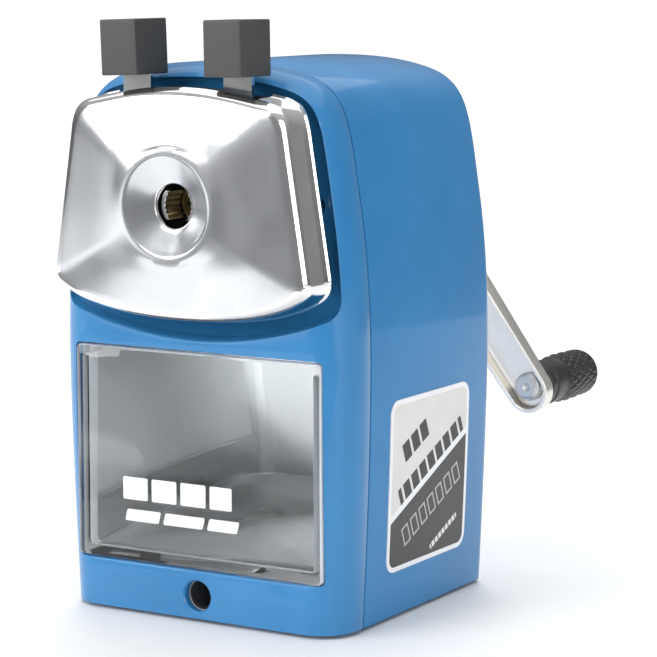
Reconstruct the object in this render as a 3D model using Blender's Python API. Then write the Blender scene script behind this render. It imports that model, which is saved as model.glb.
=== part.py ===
"""Desk pencil sharpener with a hand crank.

A barrel-shaped body stands on four rubber feet. Its face plate pulls forward on two guide rods
and carries a pair of crossed levers whose jaws grip the pencil. The crank at the rear turns a
planetary cutter head, and a clear drawer below catches the shavings.

Frame: metres, +Z up, the front faces -Y. The origin is on the table, at the centre of the whole
object's bounding box, so ORIGIN away from the centre of the body's footprint. The dimensions below
are millimetres from the body's centre, and MM turns them into metres. Lengths along Y are named
front and rear, so front < rear.
"""
import math

import bmesh
import bpy
from mathutils import Matrix, Vector

MM = 0.001
ORIGIN = (1.85, 18.5, 0.0)

# Body
BODY_FRONT = -30.5
SEAM = -20.2                    # joint between the bezel and the main case
BODY_REAR = 31.7
BODY_BOTTOM = 0.8               # the rubber feet stand proud by this much
BODY_TOP = 111.8
BEZEL_CORNER = 8.0              # plan radius of the upright front corners
BEZEL_TOP_SHARE = 0.75          # how much of that radius the top edge has
BEZEL_TOP_SLOPE = 0.9           # how much further the top comes down towards the front
CASE_CORNER = 4.2
CASE_WALL = 1.4
BEZEL_WALL = 1.8
SEAM_CHAMFER = 0.35
FIT = 0.3                       # gap between neighbouring pieces

# Recess in the upper bezel, behind the face plate
RECESS_FLOOR = -25.0
RECESS_FLOOR_REAR = -23.4
RECESS_LIP = 1.8
RECESS_BOTTOM = 57.3
RECESS_RISE = 4.7               # how far its lower edge climbs towards the sides
RECESS_TOP_SHARE = 1.5          # the lip is deeper above than at the sides

# Drawer and its opening
DRAWER_HALF = 29.0
DRAWER_LOW, DRAWER_HIGH = 11.0, 54.5
DRAWER_REAR = 24.0
DRAWER_WALL = 1.5
DRAWER_FRONT_THICK = 2.0
DRAWER_CORNER = 8.0

# Axis shared by the pencil, the ring gear and the crank
AXIS_Z = 84.3

# Face plate
PLATE_EDGE = -36.6              # front edge of the rim
PLATE_PEAK = -40.0
PLATE_MOUTH = -37.0
PLATE_RIM_REAR = -28.4
PLATE_FLARE = 1.4
PLATE_THICK = 0.8
MOUTH_RADIUS = 4.35
DISH_RADIUS = 10.0
STUD_X, STUD_Z, STUD_RADIUS = 18.0, 73.0, 2.2

# Jaw levers and buttons
LEVER_FRONT_LAYER = (-32.8, -31.8)
LEVER_REAR_LAYER = (-31.4, -30.4)
LEVER_PIVOT_X, LEVER_PIVOT_Z = 7.0, 67.6
LEVER_DISC, LUG_RADIUS = 12.3, 3.7
WINDOW_RADIUS = 7.8
TAB_X, TAB_HALF, TAB_TOP = 11.3, 3.25, 112.0
JAW_FRONT = -35.5
JAW_GAP = 2.9                   # from the axis to each closed jaw
JAW_DEPTH = 2.6
JAW_ARC = 4.0
BUTTON_X = 12.05
BUTTON_SIZE = (8.5, 10.8, 10.9)
BUTTON_FRONT = -38.0
BUTTON_LOW = 109.4
LEFT_BUTTON_LEAN, RIGHT_BUTTON_LEAN = -2.0, -0.8
SPRING_Z = 101.0

# Jaw housing and guide rods
HOUSING_FRONT, HOUSING_REAR = -29.4, -27.2
ROD_X, ROD_RADIUS = 24.0, 2.0
ROD_FRONT, ROD_REAR = -29.8, 26.4
CLIP_FRONT, CLIP_REAR = 24.2, 25.2

# Bearing frame
FRAME_FRONT, FRAME_REAR = -23.1, -20.6
FRAME_BOTTOM = 62.0
RING_SEAT = 17.9
BUSH_BORE = 4.4
BUSH_RADIUS = 5.5
FRAME_SCREWS = ((24.0, 71.5), (20.0, 98.0))

# Cutter head: bevel planet inside a fixed ring gear
TILT = math.radians(10.5)       # angle between the cutter's axis and the pencil's
APEX_Y = 40.1                   # where the two axes meet
RING_TEETH, PINION_TEETH = 30, 10
PINION_CONE = math.atan(math.sin(TILT) / (RING_TEETH / PINION_TEETH - math.cos(TILT)))
RING_CONE = PINION_CONE + TILT
PINION_AT = 55.5                # distances along the cutter's axis, from the apex
PINION_FACE = 3.6
CUTTER_NEAR, CUTTER_FAR = 25.0, 51.5
AXLE_NEAR, AXLE_FAR = 20.5, 60.8
CUTTER_RADIUS = 4.8
CUTTER_FLUTES = 10
CUTTER_HELIX = math.radians(35.0)
AXLE_RADIUS = 1.2
AXLE_BORE = 1.5
CARRIER_FRONT = (-20.2, -18.0)
CARRIER_REAR = (17.0, 21.0)
CARRIER_RADIUS = 13.2
SHAFT_RADIUS, SHAFT_BORE, SHAFT_REAR = 3.0, 3.3, 55.4

# Rear collar and bayonet cap
COLLAR_BORE, COLLAR_RADIUS, COLLAR_FLANGE = 16.5, 18.4, 21.0
COLLAR_FRONT, COLLAR_REAR = 20.0, 34.5
CAP_FRONT, CAP_GRIP_FRONT, CAP_REAR = 22.0, 34.8, 39.0
CAP_GRIP = 18.2
CAP_FLUTES = 8

# Crank
ARM_ANGLE = math.radians(36.0)  # from straight down towards +X
CRANK_RADIUS = 55.8             # from the crank axis to the knob
ARM_LENGTH = 56.7               # from the crank axis to the middle of the arm's round end
ARM_REAR = 53.0
ARM_END_DEPTH, ARM_HUB_DEPTH = 4.0, 5.8
ARM_WALL, ARM_WEB = 0.9, 1.0
ARM_HUB_RADIUS, ARM_END_RADIUS = 5.7, 4.9
KNOB_X = CRANK_RADIUS * math.sin(ARM_ANGLE)
KNOB_Z = AXIS_Z - CRANK_RADIUS * math.cos(ARM_ANGLE)
KNOB_FRONT, KNOB_REAR = 53.4, 77.0
KNOB_RADIUS = 5.4
KNOB_PIN, PIN_HEAD, PIN_REAR = 1.7, 3.1, 71.0
NUT_RADIUS, NUT_HIGH = 4.6, 4.0

# Underside
BASE_LOW, BASE_HIGH = 1.0, 1.6
BASE_HALF, BASE_FRONT, BASE_REAR, BASE_CORNER = 30.2, -27.6, 29.6, 6.0
CLAMP_Z, CLAMP_HOLE = 5.35, 3.1
TUBE_BORE, TUBE_RADIUS, TUBE_REAR = 3.0, 3.45, 10.0
SHELF_LOW, SHELF_HIGH = 9.2, 10.2
RAIL_HALF, RAIL_WALL = 30.8, 1.0
RAIL_FRONT, RAIL_REAR = -22.0, 26.0
FEET = ((23.5, -21.0), (23.5, 22.5))
BASE_SCREWS = ((25.0, -12.0), (25.0, 14.0))
CASE_SCREW_X, CASE_SCREW_Z = 20.0, 6.8
CASE_BOSS_FRONT, CASE_BOSS_REAR = 20.0, 28.8

# Side label
LABEL_FRONT, LABEL_REAR, LABEL_LOW, LABEL_HIGH = -12.0, 20.0, 10.7, 44.4
LABEL_CORNER = 3.0
LABEL_GAP, LABEL_THICK = 0.1, 0.2


# ---------------------------------------------------------------- plane curves

def bezier(a, b, c, d, steps, last=False):
    """Points of a cubic curve, without the last one unless it is asked for."""
    points = []
    for i in range(steps + (1 if last else 0)):
        t = i / steps
        s = 1.0 - t
        points.append(tuple(s**3 * a[k] + 3 * s * s * t * b[k] + 3 * s * t * t * c[k] + t**3 * d[k]
                            for k in (0, 1)))
    return points


def arc(cx, cz, radius, start, end, steps):
    """Points from angle start to angle end in degrees, both included."""
    points = []
    for i in range(steps + 1):
        a = math.radians(start + (end - start) * i / steps)
        points.append((cx + radius * math.cos(a), cz + radius * math.sin(a)))
    return points


def rounded_box(x0, x1, z0, z1, radius, steps=4):
    """Counter-clockwise rectangle with round corners."""
    return (arc(x1 - radius, z0 + radius, radius, -90, 0, steps)
            + arc(x1 - radius, z1 - radius, radius, 0, 90, steps)
            + arc(x0 + radius, z1 - radius, radius, 90, 180, steps)
            + arc(x0 + radius, z0 + radius, radius, 180, 270, steps))


def mirrored(half):
    """A curve from the right side to the middle, carried on to the left side."""
    left = [(-x, z) for x, z in reversed(half) if x > 1e-6]
    return half + left


def body_half():
    """Right half of the barrel outline, from the bottom up to the middle of the top."""
    side = bezier((32.7, BODY_BOTTOM), (33.6, 18.0), (34.5, 38.0), (34.5, 54.0), 4)
    shoulder = bezier((34.5, 54.0), (34.5, 63.0), (34.0, 74.0), (32.4, 84.0), 3)
    corner = bezier((32.4, 84.0), (29.8, 100.1), (29.8, 106.6), (20.0, 109.5), 7)
    top = bezier((20.0, 109.5), (13.0, 111.5), (6.0, BODY_TOP), (0.0, BODY_TOP), 2, last=True)
    return side + shoulder + corner + top


def body_curve(inset=0.0, top_share=1.0):
    """The barrel outline moved inwards, less at the top where top_share is below 1."""
    points = mirrored(body_half())
    moved = []
    for i, (x, z) in enumerate(points):
        before, after = points[max(i - 1, 0)], points[min(i + 1, len(points) - 1)]
        tangent = Vector((after[0] - before[0], after[1] - before[1])).normalized()
        normal = Vector((tangent.y, -tangent.x))
        if i in (0, len(points) - 1):
            normal = Vector((math.copysign(1.0, x), 0.0))
        share = top_share + (1.0 - top_share) * abs(normal.x)
        moved.append((x - normal.x * inset * share, z - normal.y * inset * share))
    return moved


def lowered(points, drop):
    """The upper part of an outline brought down, by drop at the very top."""
    return [(x, z - drop * max(0.0, z - AXIS_Z) / (BODY_TOP - AXIS_Z)) for x, z in points]


def half_width(z):
    """Half the body's width at a height, on the straight facets of its outline."""
    points = [p for p in body_half() if p[1] <= 100.0]
    for (xa, za), (xb, zb) in zip(points, points[1:]):
        if za <= z <= zb:
            return xa + (xb - xa) * (z - za) / (zb - za)
    return points[0][0]


def plate_outline():
    """Front outline of the face plate, all the way round."""
    right = (bezier((0.0, 62.3), (12.0, 62.3), (22.0, 64.0), (27.4, 67.3), 5)
             + bezier((27.4, 67.3), (29.0, 68.2), (29.8, 69.0), (29.4, 71.2), 3)
             + bezier((29.4, 71.2), (28.4, 77.5), (25.9, 93.0), (25.0, 98.7), 2)
             + bezier((25.0, 98.7), (24.4, 102.0), (23.4, 103.6), (20.6, 104.2), 3)
             + bezier((20.6, 104.2), (15.0, 105.2), (9.0, 106.8), (0.0, 106.8), 3, last=True))
    left = [(-x, z) for x, z in reversed(right[1:-1])]
    return right + left


def outset(loop, distance):
    """A counter-clockwise loop moved outwards along the normals of its corners."""
    moved = []
    for i, point in enumerate(loop):
        before, after = Vector(loop[i - 1]), Vector(loop[(i + 1) % len(loop)])
        here = Vector(point)
        first, second = (here - before).normalized(), (after - here).normalized()
        tangent = (first + second).normalized()
        stretch = 1.0 / max(tangent.dot(first), 0.5)
        moved.append((here.x + tangent.y * distance * stretch,
                      here.y - tangent.x * distance * stretch))
    return moved


# ---------------------------------------------------------------- solids

def loft(rings, loop=False):
    """Skin over rings of equally many points. A loop of rings closes on itself, like a tube."""
    bm = bmesh.new()
    rows = [[bm.verts.new(p) for p in ring] for ring in rings]
    pairs = list(zip(rows, rows[1:]))
    if loop:
        pairs.append((rows[-1], rows[0]))
    for low, high in pairs:
        for i in range(len(low)):
            j = (i + 1) % len(low)
            bm.faces.new((low[i], low[j], high[j], high[i]))
    if not loop:
        bm.faces.new(list(reversed(rows[0])))
        bm.faces.new(rows[-1])
    return bm


def at_y(points, y):
    return [(x, y, z) for x, z in points]


def prism(outline, front, rear):
    """An outline in X and Z, extruded along Y."""
    return loft([at_y(outline, front), at_y(outline, rear)])


def slab(outline, low, high):
    """An outline in X and Y, extruded along Z."""
    return loft([[(x, y, z) for x, y in outline] for z in (low, high)])


def circle(radius, count, cx=0.0, cz=0.0):
    return arc(cx, cz, radius, 0, 360, count)[:-1]


def turned(profile, cx=0.0, cz=AXIS_Z, count=24, hollow=False):
    """A turned piece about an axis along Y. The profile holds (y, radius) pairs."""
    return loft([at_y(circle(r, count, cx, cz), y) for y, r in profile], loop=hollow)


def upright(profile, x, y, count=14, hollow=False):
    """A turned piece about an upright axis. The profile holds (z, radius) pairs."""
    return loft([[(px, py, z) for px, py in circle(r, count, x, y)] for z, r in profile],
                loop=hollow)


def tube(front, rear, bore, radius, cx=0.0, cz=AXIS_Z, count=28):
    return turned([(front, radius), (rear, radius), (rear, bore), (front, bore)],
                  cx, cz, count, hollow=True)


# ---------------------------------------------------------------- objects

FINISHES = {
    "blue_paint": ((0.055, 0.190, 0.430), 0.22, 0.0),
    "satin_steel": ((0.78, 0.79, 0.80), 0.32, 1.0),
    "chrome": ((0.86, 0.87, 0.88), 0.12, 1.0),
    "steel": ((0.55, 0.56, 0.57), 0.38, 1.0),
    "spring_steel": ((0.45, 0.46, 0.48), 0.35, 1.0),
    "brass": ((0.72, 0.55, 0.24), 0.35, 1.0),
    "die_cast": ((0.40, 0.41, 0.42), 0.55, 1.0),
    "black_plastic": ((0.030, 0.031, 0.032), 0.42, 0.0),
    "button_plastic": ((0.060, 0.060, 0.062), 0.55, 0.0),
    "knob_plastic": ((0.035, 0.040, 0.037), 0.48, 0.0),
    "clear_plastic": ((0.85, 0.88, 0.90), 0.05, 0.0),
    "rubber": ((0.025, 0.025, 0.025), 0.85, 0.0),
    "label": ((0.80, 0.78, 0.74), 0.45, 0.0),
}


def finish(name):
    """The material of that name, made the first time it is asked for."""
    found = bpy.data.materials.get(name)
    if found:
        return found
    colour, roughness, metallic = FINISHES[name]
    made = bpy.data.materials.new(name)
    made.use_nodes = True
    shader = made.node_tree.nodes["Principled BSDF"]
    shader.inputs["Base Color"].default_value = (*colour, 1.0)
    shader.inputs["Roughness"].default_value = roughness
    shader.inputs["Metallic"].default_value = metallic
    return made


FRAMES = {}


def joint_frame(name, location, rotation=None, parent=None):
    """An empty on a joint's axis, which carries the pieces that move on that joint."""
    empty = bpy.data.objects.new(name, None)
    bpy.context.collection.objects.link(empty)
    matrix = Matrix.Translation((Vector(location) - Vector(ORIGIN)) * MM)
    if rotation:
        matrix = matrix @ rotation.to_4x4()
    empty.matrix_basis = matrix
    if parent:
        empty.parent = parent
        empty.matrix_parent_inverse = parent.matrix_basis.inverted()
    FRAMES[name] = matrix
    return empty


def add(name, bm, material=None, carrier=None):
    """Turn a mesh drawn in millimetres in the body's frame into an object on its carrier."""
    bmesh.ops.recalc_face_normals(bm, faces=bm.faces)
    bmesh.ops.translate(bm, vec=-Vector(ORIGIN), verts=bm.verts)
    bmesh.ops.transform(bm, matrix=Matrix.Scale(MM, 4), verts=bm.verts)
    if carrier:
        bmesh.ops.transform(bm, matrix=FRAMES[carrier.name].inverted(), verts=bm.verts)
    mesh = bpy.data.meshes.new(name)
    bm.to_mesh(mesh)
    bm.free()
    mesh.shade_smooth()
    mesh.set_sharp_from_angle(angle=math.radians(32.0))
    made = bpy.data.objects.new(name, mesh)
    bpy.context.collection.objects.link(made)
    if material:
        mesh.materials.append(finish(material))
    if carrier:
        made.parent = carrier
    return made


def combine(target, name, bm, operation):
    """Cut a shape out of an object, or weld it on, with a hidden tool object."""
    tool = add(f"{name}_tool", bm)
    tool.hide_render = True
    tool.display_type = "WIRE"
    if target.parent:
        tool.parent = target.parent
        tool.matrix_parent_inverse = FRAMES[target.parent.name].inverted()
    modifier = target.modifiers.new(name, "BOOLEAN")
    modifier.object = tool
    modifier.operation = operation
    modifier.solver = "EXACT"


def cut(target, name, bm):
    combine(target, name, bm, "DIFFERENCE")


def weld(target, name, bm):
    combine(target, name, bm, "UNION")


# ---------------------------------------------------------------- body

def rounded_front(edge, corner, inset):
    """Rings (y, inset) that round the front of the body from its flat face back to its side."""
    steps = 5
    return [(edge + corner * (1 - math.sin(a)), inset + corner * (1 - math.cos(a)))
            for a in (math.pi / 2 * (steps - i) / steps for i in range(steps))]


def recess_ring(inset, lift):
    """Outline of the recess: the body's outline above, an arc that rises at both sides below."""
    def arc_z(x):
        return RECESS_BOTTOM + lift + RECESS_RISE * (x / 28.0) ** 2

    corner_z = arc_z(28.0) + 1.5
    wide = half_width(corner_z + 3.5) - inset
    upper = [p for p in body_curve(inset, RECESS_TOP_SHARE) if p[1] > 69.0]
    corner = bezier((wide - 4.0, arc_z(wide - 4.0)), (wide - 1.2, arc_z(wide - 2.0)),
                    (wide, corner_z), (wide, corner_z + 3.5), 4, last=True)
    left = [(-x, z) for x, z in reversed(corner)]
    low = [(x, arc_z(x)) for x in ((wide - 4.0) * k / 5.0 for k in range(-4, 5))]
    return corner + upper + left + low


def front_bezel():
    rings = rounded_front(BODY_FRONT, BEZEL_CORNER, 0.0)
    rings += [(BODY_FRONT + BEZEL_CORNER, 0.0), (SEAM - SEAM_CHAMFER, 0.0), (SEAM, SEAM_CHAMFER)]
    skin = [at_y(lowered(body_curve(inset, BEZEL_TOP_SHARE), inset * BEZEL_TOP_SLOPE), y)
            for y, inset in rings]
    bezel = add("front_bezel", loft(skin), "blue_paint")

    half = RAIL_HALF + 0.3
    round_in = BEZEL_CORNER - 1.6
    centre_x, centre_y = half - round_in, BODY_FRONT + BEZEL_WALL + round_in
    plan = (arc(centre_x, centre_y, round_in, -90, 0, 5)
            + [(half, SEAM + 2.0), (-half, SEAM + 2.0)]
            + arc(-centre_x, centre_y, round_in, 180, 270, 5))
    cut(bezel, "drawer_bay", slab(plan, -5.0, DRAWER_HIGH + 1.1))

    inner = body_curve(BEZEL_WALL)
    inner = inner + [(inner[-1][0], -5.0), (inner[0][0], -5.0)]
    cut(bezel, "inside", prism(inner, RECESS_FLOOR_REAR, SEAM + 2.0))

    steps = ((-34.0, 0.0, 0.0), (-30.5, 0.0, 0.0), (-28.5, 0.0, 0.5), (-27.0, 0.2, 1.2),
             (-26.0, 0.8, 2.1), (-25.3, 1.8, 3.2), (RECESS_FLOOR, 3.0, 4.5))
    cut(bezel, "recess", loft([at_y(recess_ring(RECESS_LIP + more, lift), y)
                               for y, more, lift in steps]))

    opening = rounded_box(-DRAWER_HALF - 0.4, DRAWER_HALF + 0.4, DRAWER_LOW - 0.4,
                          DRAWER_HIGH + 0.4, 1.2)
    cut(bezel, "drawer_opening", prism(opening, BODY_FRONT - 2.0, SEAM + 1.0))
    cut(bezel, "clamp_hole", turned([(BODY_FRONT - 1.0, CLAMP_HOLE + 1.6),
                                     (BODY_FRONT, CLAMP_HOLE + 0.6),
                                     (BODY_FRONT + 0.6, CLAMP_HOLE),
                                     (BODY_FRONT + 4.0, CLAMP_HOLE)], 0.0, CLAMP_Z))
    cut(bezel, "nose_hole", turned([(RECESS_FLOOR - 2.0, 8.0), (SEAM, 8.0)]))
    for side in (-1, 1):
        cut(bezel, "rod_hole", turned([(RECESS_FLOOR - 2.0, 3.0), (SEAM, 3.0)],
                                      side * ROD_X, AXIS_Z, 16))
        for x, z in FRAME_SCREWS:
            cut(bezel, "screw_hole", turned([(RECESS_FLOOR - 2.0, 1.6), (SEAM, 1.6)],
                                            side * x, z, 8))


def main_case():
    front = SEAM + FIT
    steps = 4
    rings = [(front, SEAM_CHAMFER), (front + SEAM_CHAMFER, 0.0)]
    for i in range(steps + 1):
        a = math.pi / 2 * i / steps
        rings.append((BODY_REAR - CASE_CORNER * (1 - math.sin(a)), CASE_CORNER * (1 - math.cos(a))))
    case = add("main_case", loft([at_y(body_curve(inset), y) for y, inset in rings]),
               "blue_paint")
    inner = body_curve(CASE_WALL)
    inner = inner + [(inner[-1][0], -5.0), (inner[0][0], -5.0)]
    snug = body_curve(CASE_CORNER)
    snug = snug + [(snug[-1][0], -5.0), (snug[0][0], -5.0)]
    cut(case, "inside", loft([at_y(inner, front - 2.0), at_y(inner, BODY_REAR - CASE_CORNER),
                              at_y(snug, BODY_REAR - CASE_WALL)]))
    cut(case, "collar_hole", turned([(BODY_REAR - 4.0, COLLAR_RADIUS + FIT),
                                     (BODY_REAR + 2.0, COLLAR_RADIUS + FIT)]))
    for side in (-1, 1):
        cut(case, "screw_hole", turned([(BODY_REAR - 4.0, 1.7), (BODY_REAR + 2.0, 1.7)],
                                       side * CASE_SCREW_X, CASE_SCREW_Z, 12))


def base_plate():
    outline = rounded_box(-BASE_HALF, BASE_HALF, BASE_FRONT, BASE_REAR, BASE_CORNER)
    plate = add("base_plate", slab(outline, BASE_LOW, BASE_HIGH), "steel")
    for side in (-1, 1):
        for x, y in FEET:
            cut(plate, "foot_hole", upright([(0.0, 4.5), (3.0, 4.5)], side * x, y))
        for x, y in BASE_SCREWS:
            cut(plate, "screw_hole", upright([(0.0, 1.6), (3.0, 1.6)], side * x, y, 10))


def feet():
    profile = [(0.0, 3.7), (0.5, 4.2), (BASE_HIGH + 0.2, 4.2), (BASE_HIGH + 0.2, 5.4),
               (BASE_HIGH + 1.0, 5.4), (BASE_HIGH + 1.4, 4.8)]
    for where, (x, y) in zip(("front", "rear"), FEET):
        for hand, side in (("left", -1), ("right", 1)):
            add(f"rubber_foot_{where}_{hand}", upright(profile, side * x, y), "rubber")


def drawer_rail():
    """Shelf under the drawer, with guide walls above it and legs down to the base plate."""
    outer, inner = RAIL_HALF, RAIL_HALF - RAIL_WALL
    low, high = BASE_HIGH + FIT, 20.0
    section = [(outer, low), (outer, high), (inner, high), (inner, SHELF_HIGH),
               (-inner, SHELF_HIGH), (-inner, high), (-outer, high), (-outer, low),
               (-inner, low), (-inner, SHELF_LOW), (inner, SHELF_LOW), (inner, low)]
    rail = add("drawer_rail", prism(section, RAIL_FRONT, RAIL_REAR), "steel")
    for side in (-1, 1):
        for x, y in BASE_SCREWS:
            weld(rail, "boss", upright([(low + 0.4, 3.0), (SHELF_LOW + 0.5, 3.0)], side * x, y, 10))
            cut(rail, "boss_bore", upright([(low - 1.0, 1.6), (SHELF_LOW - 0.6, 1.6)],
                                           side * x, y, 10))
        weld(rail, "rear_boss", turned([(CASE_BOSS_FRONT, 3.0), (CASE_BOSS_REAR, 3.0)],
                                       side * CASE_SCREW_X, CASE_SCREW_Z, 12))
        cut(rail, "rear_boss_bore", turned([(CASE_BOSS_FRONT + 1.5, 1.7), (CASE_BOSS_REAR + 1.7, 1.7)],
                                           side * CASE_SCREW_X, CASE_SCREW_Z, 12))


def clamp_socket():
    add("clamp_socket", tube(BODY_FRONT + BEZEL_WALL + FIT, TUBE_REAR, TUBE_BORE, TUBE_RADIUS,
                             0.0, CLAMP_Z, 24), "steel")


def body_screws():
    for hand, side in (("left", -1), ("right", 1)):
        for where, (x, y) in zip(("front", "rear"), BASE_SCREWS):
            add(f"base_screw_{where}_{hand}",
                upright([(0.25, 1.9), (0.45, 2.4), (0.85, 2.4), (0.85, 1.25), (7.6, 1.25)],
                        side * x, y, 10), "steel")
        add(f"case_screw_{hand}",
            turned([(CASE_BOSS_FRONT + 2.2, 1.3), (BODY_REAR + FIT, 1.3), (BODY_REAR + FIT, 2.8),
                    (BODY_REAR + 1.2, 2.6), (BODY_REAR + 1.8, 1.6)],
                   side * CASE_SCREW_X, CASE_SCREW_Z, 12), "steel")
        for where, (x, z) in zip(("lower", "upper"), FRAME_SCREWS):
            add(f"frame_screw_{where}_{hand}",
                turned([(RECESS_FLOOR + 0.3, 1.25), (FRAME_REAR + 0.2, 1.25),
                        (FRAME_REAR + 0.2, 2.5), (FRAME_REAR + 1.2, 2.3),
                        (FRAME_REAR + 1.7, 1.4)], side * x, z, 10), "steel")


def side_label():
    """Thin label that follows the right wall, with round corners."""
    heights = {LABEL_LOW, LABEL_HIGH}
    for i in range(1, 4):
        drop = LABEL_CORNER * (1 - math.cos(math.pi / 2 * i / 3))
        heights |= {LABEL_LOW + drop, LABEL_HIGH - drop}
    heights |= {z for _, z in body_half() if LABEL_LOW < z < LABEL_HIGH}
    rings = []
    for z in sorted(heights):
        up = min(z - LABEL_LOW, LABEL_HIGH - z, LABEL_CORNER)
        pull = LABEL_CORNER - math.sqrt(LABEL_CORNER**2 - (LABEL_CORNER - up) ** 2)
        pull = min(pull, LABEL_CORNER - 0.4)
        x = half_width(z) + LABEL_GAP
        front, rear = LABEL_FRONT + pull, LABEL_REAR - pull
        rings.append([(x, front, z), (x + LABEL_THICK, front, z),
                      (x + LABEL_THICK, rear, z), (x, rear, z)])
    add("side_label", loft(rings), "label")


# ---------------------------------------------------------------- drawer

def shavings_drawer(carrier):
    side = DRAWER_HALF - 0.8
    r = DRAWER_CORNER

    def plan(half, front, rear, corner):
        return (arc(half - corner, rear - corner, corner, 0, 90, 5)
                + arc(-half + corner, rear - corner, corner, 90, 180, 5)
                + [(-half, front), (half, front)])

    back_of_front = BODY_FRONT + DRAWER_FRONT_THICK
    body = slab(plan(side, back_of_front - 0.5, DRAWER_REAR, r), DRAWER_LOW, DRAWER_HIGH - 2.5)
    drawer = add("shavings_drawer", body, "clear_plastic", carrier)
    front = rounded_box(-DRAWER_HALF, DRAWER_HALF, DRAWER_LOW, DRAWER_HIGH, 0.9, 3)
    soft = outset(front, -0.35)
    weld(drawer, "front_panel", loft([at_y(soft, BODY_FRONT), at_y(front, BODY_FRONT + 0.35),
                                      at_y(front, back_of_front)]))
    inner = plan(side - DRAWER_WALL, back_of_front, DRAWER_REAR - DRAWER_WALL, r - DRAWER_WALL)
    cut(drawer, "hollow", slab(inner, DRAWER_LOW + 1.7, DRAWER_HIGH + 5.0))


# ---------------------------------------------------------------- face carriage

def towards_axis(loop, share):
    """The loop shrunk towards the pencil axis."""
    return [(x * share, AXIS_Z + (z - AXIS_Z) * share) for x, z in loop]


def on_circle(loop, radius):
    """The loop's directions from the pencil axis, at one radius."""
    points = []
    for x, z in loop:
        length = math.hypot(x, z - AXIS_Z)
        points.append((x * radius / length, AXIS_Z + (z - AXIS_Z) * radius / length))
    return points


def plate_front(share):
    """Depth of the plate's front: flat facets that rise from the edge to the dish."""
    return PLATE_EDGE + (PLATE_PEAK - PLATE_EDGE) * (1.0 - share) / 0.62


def face_plate(carrier):
    outline = plate_outline()
    t = PLATE_THICK
    rings = [at_y(outset(outline, PLATE_FLARE), PLATE_RIM_REAR),
             at_y(outset(outline, 0.55), PLATE_EDGE + 2.2),
             at_y(outset(outline, 0.35), PLATE_EDGE + 0.6),
             at_y(outset(outline, -0.25), PLATE_EDGE)]
    rings += [at_y(towards_axis(outline, s), plate_front(s)) for s in (0.8, 0.56)]
    rings += [at_y(on_circle(outline, DISH_RADIUS + 0.9), PLATE_PEAK + 0.25),
              at_y(on_circle(outline, DISH_RADIUS), PLATE_PEAK),
              at_y(on_circle(outline, DISH_RADIUS - 0.9), PLATE_PEAK + 0.35),
              at_y(on_circle(outline, MOUTH_RADIUS + 0.4), PLATE_MOUTH - 0.05),
              at_y(on_circle(outline, MOUTH_RADIUS), PLATE_MOUTH + 0.3),
              at_y(on_circle(outline, MOUTH_RADIUS), PLATE_MOUTH + t),
              at_y(on_circle(outline, DISH_RADIUS - 0.6), PLATE_PEAK + t + 0.45)]
    rings += [at_y(towards_axis(outline, s), plate_front(s) + t) for s in (0.56, 0.8)]
    rings += [at_y(outset(outline, -0.25 - t), PLATE_EDGE + t),
              at_y(outset(outline, 0.55 - t), PLATE_EDGE + 2.2 + t),
              at_y(outset(outline, PLATE_FLARE - t), PLATE_RIM_REAR)]
    plate = add("face_plate", loft(rings, loop=True), "satin_steel", carrier)
    notch = rounded_box(-18.0, 18.0, 99.0, 113.0, 2.0)
    cut(plate, "tab_notch", prism(notch, PLATE_EDGE + 1.3, PLATE_RIM_REAR + 2.0))
    stud_front = plate_front(0.66) + 0.35
    for side in (-1, 1):
        weld(plate, "stud", turned([(stud_front, STUD_RADIUS), (HOUSING_FRONT - FIT, STUD_RADIUS)],
                                   side * STUD_X, STUD_Z, 12))
        cut(plate, "stud_bore", turned([(stud_front + 2.5, 1.4), (HOUSING_FRONT, 1.4)],
                                       side * STUD_X, STUD_Z, 12))


def jaw_housing(carrier):
    housing = add("jaw_housing", prism(outset(plate_outline(), 0.15), HOUSING_FRONT, HOUSING_REAR),
                  "black_plastic", carrier)
    for side, layer in ((-1, LEVER_FRONT_LAYER), (1, LEVER_REAR_LAYER)):
        x = side * LEVER_PIVOT_X
        weld(housing, "pivot_boss", turned([(layer[1] + FIT, 3.2), (HOUSING_FRONT + 0.5, 3.2)],
                                           x, LEVER_PIVOT_Z, 12))
        cut(housing, "pivot_bore", turned([(layer[0], 1.8), (HOUSING_REAR + 1.0, 1.8)],
                                          x, LEVER_PIVOT_Z, 16))
        cut(housing, "rod_bore", turned([(HOUSING_FRONT - 1.0, ROD_RADIUS + FIT),
                                         (HOUSING_REAR + 1.0, ROD_RADIUS + FIT)],
                                        side * ROD_X, AXIS_Z, 16))
        cut(housing, "screw_bore", turned([(HOUSING_FRONT - 1.0, 1.5), (HOUSING_REAR + 1.0, 1.5)],
                                          side * STUD_X, STUD_Z, 10))
    cut(housing, "pencil_hole", turned([(HOUSING_FRONT - 1.0, 4.8), (HOUSING_REAR + 1.0, 5.2)]))


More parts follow.
